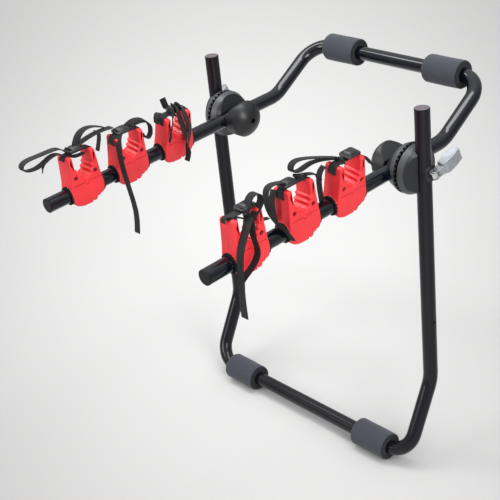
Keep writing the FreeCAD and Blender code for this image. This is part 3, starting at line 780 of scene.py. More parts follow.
FINISHES = {
    Slot.SATIN: Finish("paint_satin_black", (0.006, 0.005, 0.008), (0.022, 0.019, 0.023), 0.20,
                       0.04, specular=0.30, grain=420.0, depth=0.00003),
    Slot.GLOSS: Finish("paint_gloss_black", (0.002, 0.003, 0.007), (0.02, 0.02, 0.03), 0.14,
                       0.03, coat=0.35, coat_roughness=0.04, specular=0.28, grain=300.0,
                       depth=0.00001, marks=0.3),
    # Caps: a painted highlight on the up-facing top discs of the post plugs, and painted shade at
    # their rims.
    Slot.CAP: Finish("cap_black", (0.004, 0.004, 0.005), (0.02, 0.02, 0.02), 0.45,
                     specular=0.25, edge=0.5, zone=PostTops, highlight_colour=(0.16, 0.135, 0.15)),
    # Foam: painted shade on the roller end faces.
    Slot.FOAM: Finish("foam_black", (0.043, 0.046, 0.061), (0.07, 0.072, 0.085), 0.92, 0.04,
                      sheen=0.15, specular=0.25, grain=1300.0, depth=0.0005, cloud=16.0,
                      marks=0.2, zone=FoamEndShade),
    # Hub: a painted highlight of lighter speckled grey on the rim band, and painted shade at the
    # seam between the halves.
    Slot.HUB: Finish("hub_plastic", (0.007, 0.008, 0.010), (0.04, 0.04, 0.045), 0.42, 0.07,
                     grain=850.0, depth=0.00005, edge=1.0, zone=HubRims,
                     highlight_colour=(0.066, 0.070, 0.080)),
    Slot.WASHER: Finish("washer_plastic", (0.012, 0.012, 0.015), (0.05, 0.05, 0.05), 0.45,
                        grain=850.0, edge=0.6),
    Slot.ZINC: Finish("zinc_plate", (0.47, 0.49, 0.53), (0.28, 0.29, 0.30), 0.28, 0.08,
                      metal=0.85, grain=120.0, depth=0.00004, cloud=45.0, edge=0.6),
    Slot.BRIGHT: Finish("steel_bright", (0.78, 0.79, 0.80), (0.5, 0.5, 0.5), 0.20, 0.05,
                        metal=1.0, grain=200.0, cloud=60.0, edge=0.3),
    Slot.RED: Finish("plastic_red", (0.86, 0.036, 0.046), (0.90, 0.16, 0.16), 0.36, 0.05,
                     specular=0.38, grain=700.0, depth=0.00004, cloud=22.0, marks=0.25,
                     edge=0.6),
    Slot.RUBBER: Finish("rubber_black", (0.007, 0.007, 0.008), (0.03, 0.03, 0.03), 0.75,
                        specular=0.3, edge=0.3),
    # Screws: dark red, painted shade of the red recesses they sit in.
    Slot.SCREW: Finish("screw_recess_shade", (0.14, 0.008, 0.011), (0.16, 0.012, 0.015), 0.5, 0.08,
                       specular=0.25, cloud=80.0, edge=0.3),
    Slot.WEBBING: WebbingFinish(),
    Slot.BUCKLE: Finish("buckle_plastic", (0.012, 0.012, 0.014), (0.05, 0.05, 0.055), 0.36,
                        0.06, grain=900.0, depth=0.00003, edge=0.4),
}


class Paintbox:
    """Every material of the rack, made once."""

    def __init__(self) -> None:
        """Builds the shared groups and the materials."""
        effects = Effects()
        self.materials = {slot: finish.make(effects) for slot, finish in FINISHES.items()}

    def __getitem__(self, slot: Slot) -> bpy.types.Material:
        """The material of a slot."""
        return self.materials[slot]

    def dress(self, frame: Dict) -> int:
        """Gives every CAD node the material of its slot.


        Returns:
            How many nodes were dressed.
        """
        slots = {row["node"]: row["material_slot"] for row in frame["record"]["subparts"]}
        for name, node in frame["nodes"].items():
            material = self[Slot(slots[name])]
            if not node.material_slots:
                node.data.materials.append(material)
            for place in node.material_slots:
                place.material = material
        return len(frame["nodes"])


# Pieces of the rack


def box_middle(node: str) -> Array:
    """Middle of a CAD node's box in millimetres."""
    low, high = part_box(node)
    return (np.array(low) + np.array(high)) / 2 / MM


def new_piece(node: str, word: str, surface: Surface, paint: Paintbox, slot: Slot, body: str,
              smooth: float = 40.0) -> bpy.types.Object:
    """Makes a mesh object that stands for a CAD node, with its place in its mesh.

    Args:
        node: CAD node that it replaces.
        word: Word that its name adds to the node's.
        surface: Surface in millimetres.
        paint: The materials.
        slot: Its material slot.
        body: Body that it rides on.
        smooth: Edges sharper than this many degrees stay sharp.

    Returns:
        The new object.
    """
    name = node + "_" + word
    mesh = bpy.data.meshes.new(name)
    mesh.from_pydata((surface.points * MM).tolist(), [], surface.faces)
    if surface.uv is not None:
        layer = mesh.uv_layers.new(name="UVMap")
        corners = np.zeros(len(mesh.loops), dtype=np.int32)
        mesh.loops.foreach_get("vertex_index", corners)
        layer.data.foreach_set("uv", surface.uv[corners].astype(np.float32).ravel())
    mesh.validate()
    mesh.shade_smooth()
    mesh.set_sharp_from_angle(angle=math.radians(smooth))
    mesh.materials.append(paint[slot])
    piece = bpy.data.objects.new(name, mesh)
    bpy.context.scene.collection.objects.link(piece)
    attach(piece, body)
    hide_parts(node)
    return piece


@dataclass
class FoamRoller:
    """Foam sleeve on a cross bar, a little out of round.

    Its end faces dish in by the first dish depth at the dish radius and by the second at
    the bore. Each of its two waves has a height and a run.
    """

    node: str
    body: str
    seed: float
    radius: float = 25.0
    bore: float = 13.0
    half: float = 38.0
    edge: float = 3.2
    dish: Span = (0.5, 0.9)
    dish_radius: float = 17.5
    waves: Tuple[Span, Span] = ((0.22, 21.0), (0.16, 9.0))
    around: int = 96
    edge_steps: int = 9
    side_steps: int = 25

    def surface(self) -> Surface:
        """Closed sleeve about X.

        The radius falls by a quarter circle at each end, and two slow sines of the angle
        and the place along the sleeve make it uneven by a few tenths of a millimetre.

        Returns:
            The surface about its own middle.
        """
        turn = np.linspace(0, math.pi / 2, self.edge_steps)
        right = np.stack([self.half - self.edge * (1 - np.sin(turn)),
                          self.radius - self.edge * (1 - np.cos(turn))], axis=1)
        side = np.linspace(-1, 1, self.side_steps)[1:-1] * (self.half - self.edge)
        middle = np.stack([side, np.full_like(side, self.radius)], axis=1)
        dish = np.array([[self.half - self.dish[0], self.dish_radius],
                         [self.half - self.dish[1], self.bore]])
        mirror = (-1, 1)
        profile = [dish[::-1] * mirror, right[::-1] * mirror, middle, right, dish]
        made = lathe(np.concatenate(profile), self.around)
        x, y, z = made.points.T
        angle, radius = np.arctan2(z, y), np.hypot(y, z)
        (slow, slow_run), (fine, fine_run) = self.waves
        wave = (slow * np.sin(3 * angle + self.seed + x / slow_run)
                + fine * np.sin(x / fine_run + 2 * self.seed) * np.cos(angle))
        grown = np.where(radius > self.bore + 1, radius + wave * radius / self.radius, radius)
        points = np.stack([x, grown * np.cos(angle), grown * np.sin(angle)], axis=1)
        return Surface(points, [face[::-1] for face in made.faces])

    def build(self, paint: Paintbox) -> None:
        """Makes the roller where its CAD node is.

        Args:
            paint: The materials.
        """
        made = self.surface().moved(np.eye(3), box_middle(self.node))
        piece = new_piece(self.node, "foam", made, paint, Slot.FOAM, self.body)
        LOG.info("foam %s", self.node)


@dataclass
class CradleShell:
    """One moulded half shell of a cradle, in millimetres.

    Own Y runs along the arm and own Z up. X is the thickness, from the split to the face.
    The seam is a groove between two heights with a V in its middle.
    """

    thick: float = 17.0
    split: float = 0.1
    half: float = 33.0
    horn: float = 27.5
    top: float = 69.0
    notch: float = 17.5
    floor: float = 25.5
    base: float = 21.5
    ledge_depth: float = 5.0
    bore: float = 14.7
    mouth: float = 16.6
    mouth_depth: float = 4.5
    sink: float = 3.6
    sink_depth: float = 3.5
    sink_lip: float = 0.35
    screws: Tuple[Span, Span] = ((19.8, 31.0), (-19.8, 31.0))
    seam: Span = (17.45, 18.55)
    seam_reach: float = 26.8
    seam_depth: float = 1.3
    vee: Span = (5.5, 4.9)
    vee_half: Span = (4.5, 4.8)
    corner_steps: int = 7
    edge_steps: int = 8
    sink_around: int = 28
    bore_around: int = 72
    smooth: float = 32.0

    def outline(self) -> Tuple[Array, Array, Array]:
        """Outline of the shell and how its edge is rounded at each point.

        Along the outside the edge moves straight inwards. In the notch it moves away from
        the notch's middle, so the notch flares at the face. A row has a corner's y, z and
        cut, and the depth of its rounding; a ledge's row ends with its own move instead.

        Returns:
            Points, n x 2, the rounding's depth, n, and the edge's move at the face, n x 2.
        """
        h, n, f, b = self.horn, self.notch, self.floor, self.base
        flank = [(self.half, -2, 4, 2.6), (self.half - 0.5, 9, 4, 2.6), (h + 2.6, 24, 6, 2.6),
                 (h + 0.2, self.top - 9, 4, 3.2), (h, self.top, 5, 4.6), (n, self.top, 4.6, 4.6)]
        ledges = [(n, f + 20, 1.0, 2.6, -1.4), (n - 4, f + 18, 1.0, 2.6, -1.4),
                  (n - 2.5, f + 12, 1.4, 2.6, -1.2), (n - 8, f + 10, 1.0, 2.6, -1.4),
                  (n - 6.5, f + 4.5, 1.4, 2.4, -1.4), (n - 13, f + 2, 1.2, 1.4, -1.6),
                  (n - 14.5, f, 1.4, 0.6, -1.8)]
        foot = [(3.5, -b - 0.5, 0.8, 1.0), (3.5, -b + 2.8, 0.8, 0.8), (5.5, -b + 2.8, 0.8, 0.8),
                (6.5, -b, 1.2, 1.2), (11.5, -b, 1.4, 2.0), (14, -b + 3, 1.2, 1.6),
                (14.5, -b + 5.6, 0.8, 1.6), (19, -b + 5, 2, 2.2), (22, -b + 8, 1.6, 2.2),
                (self.half - 5, -b + 8.5, 3.5, 2.4)]
        heel = [(-self.half + 4, -b + 4, 4, 3.0), (-20, -b, 4, 3.4), (-13, -b - 1.5, 3, 3.4),
                (0, -b - 1, 1.4, 2.0)]
        right = [(*row, 0.0, 0.0) for row in flank]
        right += [(*row[:3], self.ledge_depth, *row[3:]) for row in ledges]
        left = [(-row[0], *row[1:4], -row[4], row[5]) for row in reversed(right)]
        table = np.array([(*row, 0.0, 0.0) for row in foot] + right + left
                         + [(*row, 0.0, 0.0) for row in heel])
        points = rounded_outline(table[:, :2], table[:, 2], self.corner_steps)
        rows = np.repeat(table, self.corner_steps, axis=0)
        depth, move = rows[:, 3], rows[:, 4:6]
        plain = np.all(move == 0.0, axis=1)
        return points, depth, np.where(plain[:, None], inward(points) * depth[:, None], move)

    def surface(self) -> Surface:
        """Closed half shell without its bore.

        Each outline point p with move m and depth d gives a ring of points
        p + m (1 - cos a) at x = thick - d (1 - sin a), for a from 0 to 90 degrees.

        Returns:
            The surface for the side that faces +X.
        """
        points, depth, move = self.outline()
        count = len(points)
        rings = [np.column_stack([np.full(count, self.split), points])]
        for turn in np.linspace(0, math.pi / 2, self.edge_steps):
            flat = points + move * (1 - math.cos(turn))
            rings.append(np.column_stack([self.thick - depth * (1 - math.sin(turn)), flat]))
        faces = grid_faces(len(rings), count, False, True)
        last = (len(rings) - 1) * count
        holes, firsts, recesses = self.sinks(last + count)
        numbers = np.concatenate([np.arange(count) + last]
                                 + [np.arange(len(h)) + s for h, s in zip(holes, firsts)])
        face_loops = [rings[-1][:, 1:]] + [hole[:, 1:] for hole in holes]
        faces += [tuple(numbers[list(t)].tolist()) for t in fill(face_loops)]
        faces += [tuple(t[::-1]) for t in fill([points])]
        parts = [np.concatenate(rings)]
        for more_points, more_faces in recesses:
            parts.append(more_points)
            faces += more_faces
        return Surface(np.concatenate(parts), faces)

    def sinks(self, start: int) -> Tuple[List[Array], List[int], List]:
        """Screw recesses and the seam groove, as rings that go down from the face.

        Args:
            start: Number of the first free point.

        Returns:
            Rings on the face, the number of each ring's first point, and each recess's
            points with its faces.
        """
        holes, firsts, made = [], [], []
        for loop, steps in self.recess_loops():
            count = len(loop)
            middle = loop.mean(axis=0)
            rings = []
            for shrink, depth in steps:
                flat = middle + (loop - middle) * shrink if shrink < 1 else loop
                rings.append(np.column_stack([np.full(count, self.thick - depth), flat]))
            faces = [tuple(i + start for i in f[::-1])
                     for f in grid_faces(len(rings), count, False, True)]
            low = start + (len(rings) - 1) * count
            faces += [tuple(i + low for i in t) for t in fill([rings[-1][:, 1:]])]
            holes.append(rings[0])
            firsts.append(start)
            made.append((np.concatenate(rings), faces))
            start += count * len(rings)
        return holes, firsts, made

    def recess_loops(self) -> List[Tuple[Array, List[Span]]]:
        """Each recess's outline on the face, and its (scale, depth) steps downwards."""
        wide = self.sink + self.sink_lip
        ring = circle(self.sink_around) * wide
        steps = [(1.0, 0.0), (self.sink / wide, self.sink_lip),
                 (self.sink / wide, self.sink_depth)]
        loops = [(ring + spot, steps) for spot in self.screws]
        reach, (low, high), (dip, rise), (inner, outer) = (self.seam_reach, self.seam, self.vee,
                                                          self.vee_half)
        line = [(-reach, low), (-inner, low), (0, low - dip), (inner, low), (reach, low),
                (reach, high), (outer, high), (0, high - rise), (-outer, high), (-reach, high)]
        return loops + [(np.array(line), [(1.0, 0.0), (1.0, self.seam_depth)])]

    def bored(self) -> Surface:
        """The shell with its bore for bush and arm, cut as a solid.

        Returns:
            The cut surface.
        """
        solid = self.plain_object("shell_block", self.surface())
        end, past, core = self.half - self.mouth_depth, 60.0, 0.01
        profile = np.array([(-past, core), (past, core), (past, self.mouth), (end, self.mouth),
                            (end, self.bore), (-end, self.bore), (-end, self.mouth),
                            (-past, self.mouth)])
        tool = self.plain_object("shell_cutter", lathe(profile, self.bore_around, axis=1))
        cut = solid.modifiers.new("bore", "BOOLEAN")
        cut.operation = "DIFFERENCE"
        cut.solver = "EXACT"
        cut.object = tool
        graph = bpy.context.evaluated_depsgraph_get()
        mesh = solid.evaluated_get(graph).to_mesh()
        points = np.zeros(len(mesh.vertices) * 3)
        mesh.vertices.foreach_get("co", points)
        faces = [tuple(polygon.vertices) for polygon in mesh.polygons]
        solid.evaluated_get(graph).to_mesh_clear()
        for extra in (solid, tool):
            data = extra.data
            bpy.data.objects.remove(extra)
            bpy.data.meshes.remove(data)
        return Surface(points.reshape(-1, 3), faces)

    @staticmethod
    def plain_object(name: str, surface: Surface) -> bpy.types.Object:
        """A scratch object in millimetres."""
        mesh = bpy.data.meshes.new(name)
        mesh.from_pydata(surface.points.tolist(), [], surface.faces)
        mesh.validate()
        thing = bpy.data.objects.new(name, mesh)
        bpy.context.scene.collection.objects.link(thing)
        return thing


@dataclass
class Strand:
    """One run of webbing: rows of x, y, z and, where it has one, the twist in degrees.

    A loose run hangs as gravity has it, and the others turn with their cradle. The
    section's corners are cut by corner, and its thin sides are flat over the part rim.
    """

    rows: Sequence[Tuple[float, ...]]
    loose: bool = False
    width: float = 15.0
    corner: float = 0.6
    rim: float = 0.3
    steps: int = 10

    def surface(self, gauge: float) -> Tuple[Surface, float]:
        """Closed band along a B-spline through the rows.

        The section is a flat rounded bar. Its long side is carried along the run, eased
        towards X, and then turned by the twist.

        Args:
            gauge: Thickness of the webbing.

        Returns:
            The surface and the run's length.
        """
        rows = [(*row, 0.0)[:4] for row in self.rows]
        curve = smooth_path(np.array(rows, float), self.steps)
        path, twist = curve[:, :3], np.radians(curve[:, 3])
        along = unit(np.gradient(path, axis=0))
        across = carried_side(along)
        out = np.cross(along, across)
        wide = across * np.cos(twist)[:, None] + out * np.sin(twist)[:, None]
        face = np.cross(along, wide)
        a, b = self.width / 2, gauge / 2
        flat = [-a + self.corner, -a / 2, 0, a / 2, a - self.corner]
        side = np.array([(u, -b) for u in flat] + [(a, -b * self.rim), (a, b * self.rim)]
                        + [(u, b) for u in flat[::-1]] + [(-a, b * self.rim),
                                                          (-a, -b * self.rim)])
        points = (path[:, None] + side[None, :, :1] * wide[:, None]
                  + side[None, :, 1:] * face[:, None])
        steps = np.linalg.norm(np.diff(path, axis=0), axis=1)
        length = np.concatenate([[0.0], np.cumsum(steps)])
        count = len(side)
        u = np.repeat(length[:, None], count, axis=1)
        v = np.repeat(side[None, :, 0], len(path), axis=0)
        faces = grid_faces(len(path), count, False, True)
        faces += [tuple(range(count))[::-1],
                  tuple(range((len(path) - 1) * count, len(path) * count))]
        uv = np.stack([u, v], axis=-1).reshape(-1, 2)
        return Surface(points.reshape(-1, 3), faces, uv), float(length[-1])


@dataclass
class LadderBuckle:
    """Ladder buckle: a frame of round bars, two cross bars and a domed thumb tab.

    The tab's heights and rises are those of its upper and its lower sheet.
    """

    length: float = 30.0
    width: float = 24.0
    bar: float = 2.2
    corner: float = 4.0
    arch: float = 1.2
    arch_angle: float = 1.2
    cross_bars: Span = (-4.0, 5.0)
    cross_size: Span = (1.9, 1.7)
    cross_height: float = 1.0
    tab_size: Span = (21.0, 23.0)
    tab_waist: float = 0.12
    tab_height: Span = (3.2, 2.6)
    tab_rise: Span = (5.5, 3.85)
    tab_share: float = 0.97
    rib: float = 0.25
    rib_rate: float = 40.0
    around: int = 12
    bar_steps: int = 7
    tab_steps: int = 15

    def tube(self, path: Array, radii: Span, closed: bool) -> Surface:
        """Round bar along a path.

        Args:
            path: Points, n x 3.
            radii: Half width and half height of the section.
            closed: Whether the path is a ring.

        Returns:
            The bar's surface.
        """
        if closed:
            along = unit(np.roll(path, -1, axis=0) - np.roll(path, 1, axis=0))
        else:
            along = unit(np.gradient(path, axis=0))
        wide = unit(np.cross(along, (0.0, 0.0, 1.0)))
        high = np.cross(wide, along)
        around = self.around
        section = circle(around)[None] * radii
        section = section[..., :1] * wide[:, None] + section[..., 1:] * high[:, None]
        points = (path[:, None] + section).reshape(-1, 3)
        faces = grid_faces(len(path), around, closed, True)
        if not closed:
            faces += [tuple(range(around))[::-1],
                      tuple(range(len(points) - around, len(points)))]
        return Surface(points, faces)

    def surface(self) -> Surface:
        """The whole buckle about its own middle, lying in XY with Z up.

        Returns:
            The surface.
        """
        a, b = self.width / 2 - self.bar, self.length / 2 - self.bar
        corners = np.array([(a, b), (-a, b), (-a, -b), (a, -b)])
        flat = rounded_outline(corners, np.full(4, self.corner), self.bar_steps)
        lift = self.bar + self.arch * np.cos(flat[:, 1] / b * self.arch_angle)
        parts = [self.tube(np.column_stack([flat, lift]), (self.bar, self.bar), True)]
        span = np.linspace(-a, a, self.bar_steps)
        for y in self.cross_bars:
            path = np.column_stack([span, np.full_like(span, y),
                                    np.full_like(span, self.cross_height + self.bar)])
            parts.append(self.tube(path, self.cross_size, False))
        return joined(parts + [self.tab()])

    def tab(self) -> Surface:
        """Domed thumb tab.

        A point at s across and t along has height rise (1 - s^4)(1 - (2t - 1)^4), with
        a lower sheet under it, so the tab is closed.

        Returns:
            The surface.
        """
        count = self.tab_steps
        s, t = np.meshgrid(np.linspace(-1, 1, count), np.linspace(0, 1, count), indexing="ij")
        x = s * self.tab_size[0] / 2 * (1 - self.tab_waist * (2 * t - 1) ** 2)
        y = (t - 0.5) * self.tab_size[1]
        crown = (1 - s ** 4) * (1 - (2 * t - 1) ** 4)
        upper, lower = (height + rise * crown
                        for height, rise in zip(self.tab_height, self.tab_rise))
        upper += self.rib * np.cos(t * self.rib_rate) * crown
        top = np.stack([x, y, upper], axis=-1).reshape(-1, 3)
        low = np.stack([x * self.tab_share, y * self.tab_share, lower], axis=-1).reshape(-1, 3)
        up = [f[::-1] for f in grid_faces(count, count, False, False)]
        down = [tuple(i + len(top) for i in f[::-1]) for f in up]
        numbers = np.arange(len(top)).reshape(count, count)
        rim = np.concatenate([numbers[:, 0], numbers[-1, 1:], numbers[-2::-1, -1],
                              numbers[0, -2:0:-1]]).tolist()
        side = [(a, b, b + len(top), a + len(top)) for a, b in zip(rim, rim[1:] + rim[:1])]
        return Surface(np.concatenate([top, low]), up + down + side)


# The band over the horns: its height in the middle, and its left half as (y, z) points
OVER = 70.2
HALF_BAND = [(-28.6, 55), (-30.6, 58), (-29.6, 63), (-27.4, 68.6), (-22, 70.6), (-12, 70.6)]
BAND_ROWS = ([(0, y, z) for y, z in HALF_BAND] + [(0, 0, OVER)]
             + [(0, -y, z) for y, z in reversed(HALF_BAND)])


def hanging(rows: Sequence[Tuple[float, ...]], width: float = 15.0) -> Strand:
    """A loose strand."""
    return Strand(rows, loose=True, width=width)


def knot(x: float, y: float, z: float) -> List[Strand]:
    """Two short turns of narrowed webbing wrapped round a band at a point."""
    ring = [(x + 8.5, y, z - 1), (x + 8, y - 1, z + 3), (x, y - 2, z + 5),
            (x - 8, y - 1, z + 3), (x - 8.5, y, z - 1)]
    other = [(x + 7, y - 6, z, 20), (x + 4, y - 1, z + 4, 10), (x - 1, y + 3, z + 6),
             (x - 6, y + 7, z + 2, -20)]
    return [Strand(ring, width=8.0), Strand(other, width=7.0)]


@dataclass
class Cradle:
    """One cradle on an arm, with its strap and buckle."""

    key: str
    buckle_y: float
    strands: List[Strand]
    turn: float = 0.0
    width: float = 15.0
    gauge: float = 1.6

    def build(self, shell: Surface, paint: Paintbox) -> None:
        """Makes the shells, strap and buckle, turned about the arm at the cradle's bush.

        Args:
            shell: The half shell that faces +X.
            paint: The materials.
        """
        middle = box_middle("cradle_bush_" + self.key)
        c, s = math.cos(math.radians(self.turn)), math.sin(math.radians(self.turn))
        turn = np.array([[c, 0, s], [0, 1, 0], [-s, 0, c]])
        body = "cradle_" + self.key
        outer_way = 1.0 if middle[0] > 0 else -1.0
        for word, way in (("outer", outer_way), ("inner", -outer_way)):
            made = shell.moved(turn @ np.diag([way, 1.0, 1.0]), middle)
            new_piece("cradle_%s_%s" % (word, self.key), "shell", made, paint, Slot.RED, body,
                      CradleShell.smooth)
        self.build_strap(turn, middle, body, paint)
        spot = (0.0, self.buckle_y, OVER + self.gauge)
        made = LadderBuckle().surface().moved(np.eye(3), spot).moved(turn, middle)
        new_piece("buckle_" + self.key, "frame", made, paint, Slot.BUCKLE, body)
        LOG.info("cradle %s", self.key)

    def build_strap(self, turn: Array, middle: Array, body: str, paint: Paintbox) -> None:
        """Makes the strap from its strands.

        Args:
            turn: The cradle's turn.
            middle: Its point on the arm.
            body: Body that it rides on.
            paint: The materials.
        """
        made, length = [], 0.0
        for strand in self.strands:
            band, run = strand.surface(self.gauge)
            made.append(band if strand.loose else band.moved(turn, (0, 0, 0)))
            length += run * strand.width / self.width
        surface = joined(made).moved(np.eye(3), middle)
        piece = new_piece("strap_" + self.key, "webbing", surface, paint, Slot.WEBBING, body)
        LOG.info("strap %s, %.0f mm of webbing", self.key, length)


CRADLES = [
    Cradle("left_front", -2.0, [
        Strand(BAND_ROWS[2:]),
        hanging([(0, -14, 71), (-1, -22, 80), (-1, -30, 87), (0, -44, 89), (2, -64, 90),
                 (3, -84, 91.5), (3, -98, 91), (3, -106, 86), (3, -105, 77), (4, -92, 72.5),
                 (6, -76, 73), (6, -60, 79), (5, -45, 83), (3, -34, 79), (2, -26, 73.5)]),
        hanging([(6, -58, 80), (8, -67, 75, 10), (9, -72, 69, 25), (9, -73, 63, 40)], 10.0),
        hanging([(2, -10, 72.5), (1, 2, 77), (0, 16, 81), (0, 38, 84.5), (0, 58, 84.5),
                 (0, 70, 83), (0, 78, 82.5)]),
        hanging([(-10, 52, 83), (-10, 59, 79), (-10, 56, 66), (-10, 48, 48)], 11.0),
        hanging([(2, 0, 77, 70), (0, 6, 86, 60), (-3, 16, 95, 30), (-5, 30, 98.5, 10),
                 (-6, 45, 96), (-6, 58, 90), (-5, 66, 86)], 12.0),
        Strand([(-3, -16, 69, 30), (0, -8, 62, 20), (0, 6, 60, 10), (0, 15, 61)], width=10.0),
    ] + knot(0, -10, 73)),
    Cradle("left_middle", -6.0, [
        Strand(BAND_ROWS),
        hanging([(8, -8, 71.5), (16, -17, 73), (24, -26, 66), (28.5, -30.5, 50), (29, -31, 24),
                 (28.5, -28, -8), (28, -24, -40), (27, -21, -70), (26, -23, -92),
                 (26, -27, -111)]),
        hanging([(8, 14, 73), (10, 27, 75), (12, 39, 74), (14, 48, 68), (14, 51, 58), (13, 49, 46),
                 (12, 42, 40), (11, 36, 44), (11, 33, 54)], 13.0),
        hanging([(6, 4, 74, 40), (9, 16, 82, 30), (12, 30, 82, 20), (14, 40, 77, 10),
                 (14, 45, 70)], 9.0),
    ] + knot(3, 14, 73), turn=7.0),
    Cradle("left_rear", 4.0, [
        Strand(BAND_ROWS),
        hanging([(14, 2, 76), (27, 1, 82, 30), (34, -2, 74, 60), (35, -2, 58, 70), (34, 3, 40, 70),
                 (31, 8, 22, 60), (28.5, 9, 4, 30), (27.5, 10, -4), (27, 10, -14),
                 (27, 3, -26)], 14.0),
        hanging([(16, 6, 77), (33, 7, 80, 40), (36.5, 9, 62, 70), (35, 17, 40, 70),
                 (31, 17, 20, 60), (28.5, 11, 3, 40)], 13.0),
        hanging([(20, -6, 78), (32, -12, 74, 30), (34, -17, 58, 40), (32, -25, 34, 30),
                 (30, -29, 24, 20)], 10.0),
        hanging([(16, -12, 80, 60), (16, -15, 88, 60), (16, -17, 99, 70)], 11.0),
        hanging([(14, -29, 76), (16, -35, 77), (16, -39, 70), (14, -38, 60)], 12.0),
    ] + knot(8, -9, 73), turn=13.5),
    Cradle("right_front", 10.0, [
        Strand(BAND_ROWS[3:]),
        Strand([(0, -33, 66), (0, -33.5, 71), (0, -30, 74.5), (1, -24, 73), (4, -12, 68),
                (9, -2, 62), (12, 6, 57)], width=9.0),
        hanging([(10, 3, 60), (9, 5, 74), (9, 12, 87), (9, 21, 92), (10, 30, 89), (11, 34, 81),
                 (12, 30, 73), (13, 22, 67), (14, 11, 60)]),
        hanging([(15, 2, 62), (22, -6, 60), (25, -20, 44), (25.5, -31, 25), (25.5, -36, -2),
                 (25, -40, -42), (25, -41, -80)]),
        hanging([(14, 4, 60), (22, 2, 56), (25, -4, 38), (25, 3, 17), (25, 0, 3), (25, -14, -9),
                 (25, -30, -16), (25, -38, -22)], 13.0),
        hanging([(10, 10, 57, 30), (10, 24, 48, 30), (10, 38, 43, 20), (8, 43, 42, 10)], 7.0),
    ] + knot(7, 2, 70), turn=1.0),
    Cradle("right_middle", -12.0, [
        Strand(BAND_ROWS),
        hanging([(2, -8, 74), (1, -22, 80), (0, -42, 85), (0, -53, 82), (0, -56, 67), (2, -56, 50),
                 (4, -51, 32), (12, -42, 14), (20, -36, 2), (22, -34, -6)], 13.0),
        hanging([(-10, -30, 68), (-10, -37, 56), (-10, -38, 38), (-10, -35, 19)], 12.0),
        hanging([(4, 20, 75), (6, 34, 72), (7, 44, 66), (7, 47, 57)], 13.0),
    ] + knot(2, 10, 73), turn=1.0),
    Cradle("right_rear", 10.0, [
        Strand(BAND_ROWS),
        hanging([(-4, -32, 66), (-5, -40, 62), (-5, -45, 50), (-5, -45, 26), (-5, -43, 0)], 12.0),
        hanging([(8, 32, 62), (9, 42, 56), (9, 50, 46), (8, 56, 36, 10)], 12.0),
        hanging([(3, -12, 74), (2, -24, 79), (1, -44, 87), (0, -72, 97), (0, -92, 102),
                 (0, -102, 97), (0, -103, 88), (0, -94, 83), (0, -82, 82), (0, -65, 85.5),
                 (0, -48, 83), (1, -30, 78), (2, -18, 74)], 13.0),
    ] + knot(2, -14, 72), turn=9.0),
]


# Camera and studio


@dataclass(frozen=True)
class Viewpoint:
    """Where the photograph was taken from, about the middle of the hub axis."""

    azimuth: float = 51.761
    elevation: float = 28.924
    roll: float = -9.061
    distance: float = 1971.0
    shift_right: float = -107.6
    shift_up: float = -193.65
    focal_pixels: float = 1137.1
    frame_pixels: float = 500.0
    sensor: float = 36.0
    clip: Span = (0.05, 60.0)

    def build(self, hub: Array) -> None:
        """Makes the camera.

        Args:
            hub: Middle of the hub axis in millimetres.
        """
        az, el, roll = (math.radians(v) for v in (self.azimuth, self.elevation, self.roll))
        back = np.array([math.sin(az) * math.cos(el), -math.cos(az) * math.cos(el),
                         math.sin(el)])
        level = np.array([math.cos(az), math.sin(az), 0.0])
        above = np.cross(back, level)
        right = level * math.cos(roll) + above * math.sin(roll)
        up = -level * math.sin(roll) + above * math.cos(roll)
        spot = hub + right * self.shift_right + up * self.shift_up + back * self.distance
        data = bpy.data.cameras.new("photo_camera")
        data.sensor_width = self.sensor
        data.lens = self.focal_pixels / self.frame_pixels * self.sensor
        data.clip_start, data.clip_end = self.clip
        camera = bpy.data.objects.new("photo_camera", data)
        bpy.context.scene.collection.objects.link(camera)
        turn = Matrix(np.column_stack([right, up, back]).tolist())
        camera.matrix_world = Matrix.Translation(Vector(spot * MM)) @ turn.to_4x4()
        bpy.context.scene.camera = camera


@dataclass(frozen=True)
class Lamp:
    """One soft box that points at the rack."""

    name: str
    place: Tuple[float, float, float]
    size: Span
    power: float

    def build(self, target: Vector) -> None:
        """Makes the lamp.

        Args:
            target: Point that it faces, in metres.
        """
        data = bpy.data.lights.new(self.name, "AREA")
        data.shape = "RECTANGLE"
        data.size, data.size_y = self.size
        data.energy = self.power
        lamp = bpy.data.objects.new(self.name, data)
        lamp.location = self.place
        aim = target - Vector(self.place)
        lamp.rotation_mode = "QUATERNION"
        lamp.rotation_quaternion = aim.to_track_quat("-Z", "Y")
        bpy.context.scene.collection.objects.link(lamp)


